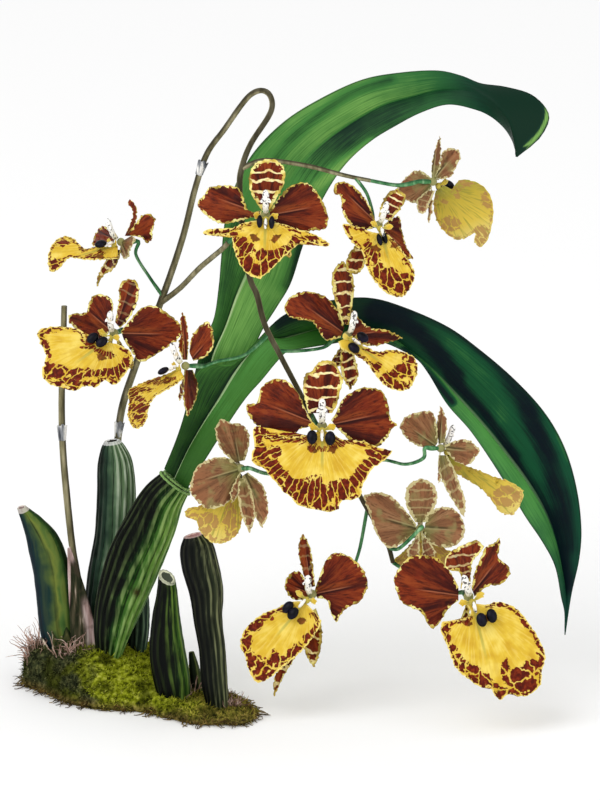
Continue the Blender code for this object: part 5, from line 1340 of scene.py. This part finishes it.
def addBract(name, path, at):
    # a papery scale wrapped round the stem: open, torn at its mouth and pointed in front
    fine = curveThrough([[*p, r] for p, r in path], 400)
    start = int(at * 399)
    low, high = Vector(fine[start - 2][:3]), Vector(fine[min(start + 2, 399)][:3])
    way = (high - low).normalized()
    middle = Vector(fine[start][:3])
    side = way.cross(viewAxes.col[2]).normalized()
    near = side.cross(way)
    rows, columns = bracts["rows"], bracts["columns"]
    grid = np.zeros((rows, columns, 3))
    for r in range(rows):
        for c in range(columns):
            share, angle = r / (rows - 1), radians(-165 + 330 * c / (columns - 1))
            tall = bracts["length"] * (1 - 0.35 * abs(angle) / pi) * (1 + 0.06 * sin(angle * 5))
            wide = bracts["foot"] + (bracts["mouth"] - bracts["foot"]) * share ** 1.6
            wide += 0.12 * sin(angle * 4 + 3 * share)
            around = near * wide * cos(angle) + side * wide * sin(angle)
            grid[r, c] = middle + way * (tall * share - bracts["below"]) + around
    outward = grid - np.array(middle)
    normals = gridNormals(grid, (0, 0, 0))
    flip = np.sign((normals * outward).sum(axis=2, keepdims=True))
    heap = newHeap(stemMarks)
    heapUp(heap, *gridSheet(grid, normals * flip, bracts["thick"]), scale=1.0, turn=0.5)
    return makePiece(name, heap, stemSkin)


def buildStems():
    paths = [[(seen(*p[:3]), p[3]) for p in knots] for knots in stems.values()]
    woody = sweepPaths("woody", paths, sweeping, stemSweep)
    tender = []
    for name, knots in stalks.items():
        flower = flowers[name]
        heart, facing, size = seen(*flower["place"]), flowerAxes(flower).col[2], flower["size"]
        path = [(seen(*p[:3]), p[3] * 0.95) for p in knots]
        end = flowerBody["hub"] * size
        path.append((heart - facing * (end + 7 * size), 0.95 * size))
        path.append((heart - facing * (end + 3 * size), 1.2 * size))
        path.append((heart - facing * (end - 0.8), 0.9 * size))
        tender.append(path)
    tender = sweepPaths("tender", tender, sweeping, stalkSweep)
    for piece, green in ((woody, 0.0), (tender, 1.0)):
        setMark(piece, "green", green)
        setMark(piece, "scale", 0.0)
    pieces = [woody, tender] + [addBract("bract", paths[0], at) for at in bracts["mainAt"]]
    declare(joinPieces("flowerStem", pieces), "stem", "flower_stem")
    old = [(seen(*p[:3]), p[3]) for p in oldStalk["path"]]
    stalk = sweepPaths("oldWood", [old], sweeping, stemSweep)
    setMark(stalk, "green", 0.0)
    setMark(stalk, "scale", 0.0)
    bract = addBract("bract", old, oldStalk["bractAt"])
    declare(joinPieces("oldFlowerStalk", [stalk, bract]), "stem", "old_flower_stalk")


print("stems")
buildStems()


# Papery sheath at the foot of the young pseudobulb: dry, thin and crinkled, pink and white
sheath = dict(left=[(-26, 16.4), (-26.6, 30), (-27.2, 46), (-27.4, 60)],
    right=[(-14, 16.4), (-17, 30), (-21.2, 46), (-26.6, 60.6)], depths=(10.6, 12, 12.6), lean=0.6, rows=70,
    columns=19, thick=0.4, crinkle=0.45, scaleRows=30, scaleColumns=11, scaleThick=0.3)
# Torn scales about the foot of the young pseudobulb: foot place, length, width, how one leans and turns
dryScales = dict(rightFront=((-26.5, 16, 9), 19, 6.0, 8, 12), middleFront=((-30.5, 15, 8), 14, 4.6, 16, 4),
    leftFront=((-35, 16, 9.5), 9, 3.6, 24, -30))


def paperFinish():
    made, add, shader, read = startFinish("dryPaperySheath", paperMarks, roughness=0.8, gloss=0.05)
    fibres = grain(add, read, 1.6, detail=4.0, stretch=(1, 1, 0.12))
    mottle = grain(add, read, 5, detail=3.0)
    paper = add("ValToRGB", [fibres], ramp=[(0.28, "#6f5a52"), (0.45, "#ab8e88"), (0.6, "#d2b9b4"),
        (0.75, "#efe6e1")])
    shaded = add("ValToRGB", [fibres], ramp=[(0.3, "#14170f"), (0.5, "#2f3322"), (0.64, "#5b5340"),
        (0.76, "#cdb9a8")])
    lit = add("Math", [add("MapRange", [read.aside, 0.5, 0.8], **soft),
        add("MapRange", [read.tall, 0.58, 0.4], **soft)], **times)
    tip = add("Math", [read.tall, add("MapRange", [read.aside, 0.0, 0.3, 0.4, 0.0], **soft)], **plus)
    lit = add("Math", [lit, add("MapRange", [tip, 0.84, 0.92], **soft)], operation="MAXIMUM")
    torn = add("ValToRGB", [fibres], ramp=[(0.4, "#1f2a14"), (0.56, "#4b4a2a"), (0.64, "#d8c9b4")])
    paper = coats(add, shaded, (paper, lit), ("#4b3d33", mottle, 0.56, 0.7, 0.5), (torn, read.torn))
    dress(shader, paper, fibres, 0.3)
    return made


def buildSheath():
    rows, columns = sheath["rows"], sheath["columns"]
    left, right = curveThrough(sheath["left"], rows), curveThrough(sheath["right"], rows)
    heap = newHeap(paperMarks)
    grid = np.zeros((rows, columns, 3))
    for r in range(rows):
        tall = r / (rows - 1)
        for c in range(columns):
            share = c / (columns - 1)
            across, up = left[r] + (right[r] - left[r]) * share
            crinkle = sheath["crinkle"] * min(1, (1 - tall) * 4)
            fold = crinkle * noise.noise(Vector((share * 7, tall * 2.5, 3)))
            depth = float(np.interp(share, (0, 0.5, 1), sheath["depths"])) + sheath["lean"] * tall + fold
            grid[r, c] = seen(across, up + 0.5 * sin(share * 9) * tall, depth)
    normals = gridNormals(grid, (0, -1, 0))
    points, faces = gridSheet(grid, normals, sheath["thick"])
    tall = np.tile(np.repeat(np.linspace(0, 1, rows), columns), 2)
    heapUp(heap, points, faces, tall=tall, aside=np.tile(np.linspace(0, 1, columns), 2 * rows))
    for (across, up, depth), length, width, lean, turn in dryScales.values():
        rows2, columns2 = sheath["scaleRows"], sheath["scaleColumns"]
        axes = viewAxes @ Matrix.Rotation(radians(turn), 3, "Y") @ Matrix.Rotation(radians(lean), 3, "Z")
        grid = np.zeros((rows2, columns2, 3))
        for r in range(rows2):
            tall = r / (rows2 - 1)
            half = width / 2 * (0.55 + 0.45 * sin(pi * min(1, tall + 0.25))) * (1 - tall ** 3 * 0.9)
            for c in range(columns2):
                share = -1 + 2 * c / (columns2 - 1)
                ragged = 0.8 * noise.noise(Vector((share * 3, tall * 3, length)))
                curl = -0.09 * width * share * share * 2 + 0.35 * ragged - 1.2 * tall * tall + 0.6
                spot = Vector((half * share, length * tall * (1 - 0.2 * abs(share)), curl))
                grid[r, c] = seen(across, up, depth) + axes @ spot
        normals = gridNormals(grid, viewAxes.col[2])
        points, faces = gridSheet(grid, normals, sheath["scaleThick"])
        heapUp(heap, points, faces, tall=np.tile(np.repeat(np.linspace(0.1, 0.9, rows2), columns2), 2),
            aside=0.5, torn=1.0)
    declare(makePiece("paperySheath", heap, paperFinish()), "sheath", "papery_sheath")


print("sheath")
buildSheath()

# Moss clump: a low mound with its height set along its length, then sprigs of moss grown all over it
clump = dict(
    outline=[(-46, 18), (-39, 7), (-27, -9), (-12, -17), (3, -20), (14, -30), (28, -38), (43, -37),
        (49, -27), (44, -9), (27, 14), (8, 36), (-16, 43), (-38, 37)],
    centre=(0, 2), turn=-28,
    heights=[(-56, 15), (-34, 17.3), (-12, 18.5), (6, 12), (20, 6.5), (34, 5.2), (58, 4.6)], sides=200,
    rings=44, lump=1.1, lumpWidth=9, grit=0.5, gritWidth=2.6, ragged=3.4, raggedWidth=6)
mossGrowth = dict(density=0.29, seed=7, smallest=0.5, largest=1.6, spike=1.9, spikeFoot=0.28)


def clumpHeight(x, y):
    along = x * cos(radians(clump["turn"])) + (y - clump["centre"][1]) * sin(radians(clump["turn"]))
    return float(np.interp(along, [a for a, _ in clump["heights"]], [h for _, h in clump["heights"]]))


def mossFinish():
    # living moss, a matt felt of tiny leaves: dull and dark at the left, bright in the middle, then ochre,
    # with painted shade at the feet of its sprigs
    made, add, shader, read = startFinish("livingMoss", ["sprig"], roughness=0.95, gloss=0.05)
    spot = add("SeparateXYZ", [read.place]).outputs
    wide = grain(add, read, 13, detail=3.0)
    fine = grain(add, read, 1.8, detail=3.0)
    left = add("Math", [spot["X"], add("MapRange", [wide, 0.3, 0.7, -0.012, 0.012])], **plus)
    green = add("ValToRGB", [fine], ramp=[(0.3, "#454c06"), (0.44, "#7f8810"), (0.56, "#a4ad2a"),
        (0.72, "#d0d358")])
    dull = add("ValToRGB", [fine], ramp=[(0.3, "#1a2017"), (0.5, "#3c4228"), (0.66, "#6b6c44"),
        (0.78, "#b3a67c")])
    ochre = add("ValToRGB", [fine], ramp=[(0.3, "#4c501a"), (0.48, "#939038"), (0.62, "#c4ae4c"),
        (0.76, "#e6c66a")])
    low = add("ValToRGB", [fine], ramp=[(0.3, "#2a2414"), (0.5, "#6f6030"), (0.7, "#a58e58")])
    # the last layer is painted shade at the inner ends of the spikes and on the mound below them
    colour = coats(add, green, (dull, left, -0.014, -0.026), (ochre, left, 0.012, 0.034, 0.9),
        ("#333908", wide, 0.5, 0.64, 0.75), (low, spot["Z"], 0.0052, 0.001, 0.85),
        ("#1d1f0c", read.sprig, 0.5, 0.0, 0.8))
    dress(shader, colour, fine, 0.4)
    return made


def mossTree(finish):
    # sprigs of a dozen spikes, scattered over a skin and turned at random
    tree, add, given = startTree("growMoss", [("Density", "Float"), ("Seed", "Int"), ("Smallest", "Float"),
        ("Largest", "Float"), ("Spike", "Float"), ("Spike Foot", "Float")])
    up = add("SeparateXYZ", [add("InputNormal")]).outputs["Z"]
    over = add("Math", [up, -0.3], operation="GREATER_THAN")
    points = add("DistributePointsOnFaces", {"Mesh": given["Geometry"], "Selection": over,
        "Density": given["Density"], "Seed": given["Seed"]})
    spike = add("MeshCone", {"Vertices": 3, "Radius Bottom": given["Spike Foot"], "Depth": given["Spike"]},
        fill_type="TRIANGLE_FAN")
    tall = add("SeparateXYZ", [add("InputPosition")]).outputs["Z"]
    # how far up each spike a point lies, for the painted shade at its foot
    spike = add("StoreNamedAttribute", {"Geometry": spike, "Name": "sprig",
        "Value": add("Math", [tall, given["Spike"]], operation="DIVIDE")}, data_type="FLOAT", domain="POINT")
    burr = add("MeshIcoSphere", {"Radius": 0.0001, "Subdivisions": 1})
    turnOut = add("AlignRotationToVector", {"Vector": add("InputNormal")}, axis="Z")
    burr = add("InstanceOnPoints", {"Points": burr, "Instance": spike, "Rotation": turnOut,
        "Scale": add("RandomValue", {"Min": (0.7, 0.7, 0.5), "Max": (1.1, 1.1, 1.3), "Seed": 3},
        data_type="FLOAT_VECTOR")})
    burr = add("RealizeInstances", {"Geometry": burr})
    spin = add("RandomValue", {"Min": (0.0, 0.0, 0.0), "Max": (6.28, 6.28, 6.28), "Seed": 11},
        data_type="FLOAT_VECTOR")
    size = add("RandomValue", {"Min": given["Smallest"], "Max": given["Largest"], "Seed": 5},
        data_type="FLOAT")
    sprigs = add("InstanceOnPoints", {"Points": points.outputs["Points"], "Instance": burr,
        "Rotation": add("EulerToRotation", [spin]), "Scale": size})
    sprigs = add("RealizeInstances", {"Geometry": sprigs})
    sprigs = add("SetMaterial", {"Geometry": sprigs, "Material": finish})
    add("NodeGroupOutput", {"Geometry": sprigs})
    return tree


def closedCurve(knots, count):
    knots = np.array(knots, float)
    fine = curveThrough(np.vstack([knots[-3:], knots, knots[:4]]), 4000)
    gaps = norm(fine - knots[0], axis=1)
    loop = fine[gaps[:2000].argmin():2000 + gaps[2000:].argmin()]
    return loop[np.linspace(0, len(loop), count, endpoint=False).astype(int)]


def clumpPlace(edge, share):
    # a spot on the moss, from its direction and how far out it lies
    x, y = np.array(clump["centre"]) + (np.array(edge) - clump["centre"]) * share
    steep = min(1.0, max(0.0, (-x - 20) / 16))     # the left end stands up like a wall
    z = max(1.8, clumpHeight(x, y) * max(0.0, 1 - share ** (5 + 10 * steep)) ** (0.6 - 0.2 * steep))
    lump = clump["lump"] * noise.noise(Vector((x, y, z)) / clump["lumpWidth"]) * 2
    return Vector((x, y, z + lump + clump["grit"] * noise.noise(Vector((x, y, z)) / clump["gritWidth"])))


def buildMoss():
    edge = closedCurve(clump["outline"], clump["sides"])
    for p in edge:     # a ragged outline
        outward = (p - clump["centre"]) / norm(p - clump["centre"])
        p += outward * clump["ragged"] * noise.noise(Vector((*p, 5)) / clump["raggedWidth"])
    rings = [[Vector((*(np.array(clump["centre"]) + (p - clump["centre"]) * 0.96), 0.0)) for p in edge]]
    rings.append([Vector((p[0] + 0.6 * noise.noise(Vector((*p, 0)) / 3),
        p[1] + 0.6 * noise.noise(Vector((*p, 9)) / 3), 1.5)) for p in edge])
    for share in 1 - np.linspace(0.035, 0.985, clump["rings"]) ** 1.3:
        rings.append([clumpPlace(p, share) for p in edge])
    heap = newHeap(["sprig"])
    # the mound gets part of the painted shade that lies below the sprigs
    heapUp(heap, *skin(rings), sprig=0.3)
    finish = mossFinish()
    base = makePiece("mossClump", heap, finish)
    declare(base, "moss", "moss_clump")
    ground = newObject("mossSprigs", base.data.copy())
    grown = runTree(ground, mossTree(finish), density=mossGrowth["density"] * 1e6, seed=mossGrowth["seed"],
        smallest=mossGrowth["smallest"], largest=mossGrowth["largest"], spike=mossGrowth["spike"] * 0.001,
        spikeFoot=mossGrowth["spikeFoot"] * 0.001)
    for vertex in grown.data.vertices:
        vertex.co.z = max(vertex.co.z, 0.0001)
    declare(grown, "moss")


# Old fibres and rootlets: thin dry strands in bunches, and along the foot of the clump. A bunch has its foot
# place (across, up, depth), how many strands, how tall and how wide it is, in mm
bunches = dict(leftEnd=((-43, 20, 18), 60, 15, 8), behindYoung=((-41, 22, 24), 30, 14, 6),
    youngFoot=((-27, 16.5, 7), 44, 12, 8), betweenBulbs=((21.5, 6, -12), 34, 13, 4.5),
    rightEnd=((40, 1, -22), 50, 9, 7), rightBehind=((36, 6, -8), 16, 7, 6))
rootlets = dict(count=340, seed=21, longest=8, thick=0.36)
fibreSweep = dict(sides=5, step=0.9, knobble=0.05, knobbleWidth=3.0)


def fibreFinish():
    made, add, shader, read = startFinish("dryFibre", roughness=0.85, gloss=0.1)
    fine = grain(add, read, 3, detail=3.0)
    spot = add("SeparateXYZ", [read.place]).outputs
    dry = add("ValToRGB", [fine], ramp=[(0.3, "#4b372a"), (0.46, "#9a7c6c"), (0.6, "#cbaa9c"),
        (0.76, "#efe0d6")])
    root = add("ValToRGB", [fine], ramp=[(0.3, "#1b1710"), (0.55, "#57431f"), (0.75, "#9a8243")])
    dress(shader, coats(add, dry, (root, spot["Z"], 0.006, 0.003)), fine, 0.1)
    return made


def buildFibres():
    draw = random.Random(rootlets["seed"])
    paths = []
    moss = bpy.data.objects["mossClump"].data
    ground = BVHTree.FromPolygons([v.co for v in moss.vertices], [face.vertices for face in moss.polygons])
    for (across, up, depth), count, tall, wide in bunches.values():
        for _ in range(count):
            strewn = Vector((draw.gauss(0, wide / 3), draw.gauss(0, wide / 4), -1.5))
            start = seen(across, up, depth) + strewn
            above = Vector((start.x, start.y, 60)) * 0.001
            rooted = ground.ray_cast(above, Vector((0, 0, -1)))[0] or ground.find_nearest(start * 0.001)[0]
            start = rooted * 1000 - Vector((0, 0, 1))
            lean = Vector((draw.gauss(0, 0.4), draw.gauss(0, 0.4), 1)).normalized()
            place, path = start, []
            long = tall * draw.uniform(0.35, 1)
            for step in range(7):
                path.append((place.copy(), 0.28 * (1 - step / 8)))
                bend = Vector((draw.gauss(0, 0.28), draw.gauss(0, 0.28), draw.gauss(-0.06, 0.2)))
                lean = (lean + bend).normalized()
                place = place + lean * long / 6
            paths.append(path)
    edge = closedCurve(clump["outline"], 400)
    for _ in range(rootlets["count"]):
        at = draw.randrange(400)
        here = Vector((*edge[at], 1.2))
        out = Vector((here.x - clump["centre"][0], here.y - clump["centre"][1], 0)).normalized()
        place = here - out * 2.5 + Vector((0, 0, draw.uniform(0.2, 1.6)))
        long = rootlets["longest"] * draw.uniform(0.3, 1)
        path = []
        for step in range(7):
            path.append((place.copy(), rootlets["thick"] * (1 - step / 9)))
            out = (out + Vector((draw.gauss(0, 0.45), draw.gauss(0, 0.45), 0))).normalized()
            place = place + out * long / 6
            place.z = max(0.25, place.z - draw.uniform(0, 0.7))
        paths.append(path)
    declare(sweepPaths("dryFibres", paths, sweepTree(fibreFinish()), fibreSweep), "moss")


print("moss")
buildMoss()
print("fibres")
buildFibres()


# Floor, light and camera
studio = dict(
    floorSize=6.0, floorColour="#ffffff", world=0.82, aim=(66, 120), lens=600, frameHeight=0.32,
    lights=[dict(name="softKey", at=(-1.3, -1.7, 2.2), size=2.4, watts=34, aim=(0.05, 0, 0.12)),
        dict(name="softFill", at=(1.9, -1.9, 1.0), size=2.4, watts=12, aim=(0.05, 0, 0.12))])


def buildStudio():
    half = studio["floorSize"] / 2
    mesh = bpy.data.meshes.new("paleFloor")
    mesh.from_pydata([(-half, -half, 0), (half, -half, 0), (half, half, 0), (-half, half, 0)], [],
        [(0, 1, 2, 3)])
    floor = newObject("paleFloor", mesh)
    made, _, shader, _ = startFinish("paleStudioFloor", roughness=0.9, gloss=0.0)
    shader.inputs["Base Color"].default_value = linear(studio["floorColour"])
    mesh.materials.append(made)
    world = bpy.data.worlds.new("studioAir")
    world.use_nodes = True
    world.node_tree.nodes["Background"].inputs["Color"].default_value = (1, 1, 1, 1)
    world.node_tree.nodes["Background"].inputs["Strength"].default_value = studio["world"]
    scene.world = world
    for lamp in studio["lights"]:
        light = bpy.data.lights.new(lamp["name"], "AREA")
        light.shape, light.size, light.energy = "DISK", lamp["size"], lamp["watts"]
        place = newObject(lamp["name"], light)
        place.location = lamp["at"]
        place.rotation_euler = (Vector(lamp["aim"]) - Vector(lamp["at"])).to_track_quat("-Z", "Y").to_euler()
    lens = bpy.data.cameras.new("camera")
    lens.lens = studio["lens"]
    lens.sensor_width = 36
    lens.clip_end = 50
    away = studio["frameHeight"] * studio["lens"] / lens.sensor_width
    camera = newObject("camera", lens)
    target = seen(*studio["aim"], 0) * 0.001
    camera.location = target + viewAxes.col[2] * away
    camera.rotation_euler = (target - camera.location).to_track_quat("-Z", "Y").to_euler()
    scene.camera = camera
    scene.view_settings.view_transform = "Standard"


print("studio")
buildStudio()

print("finishing")
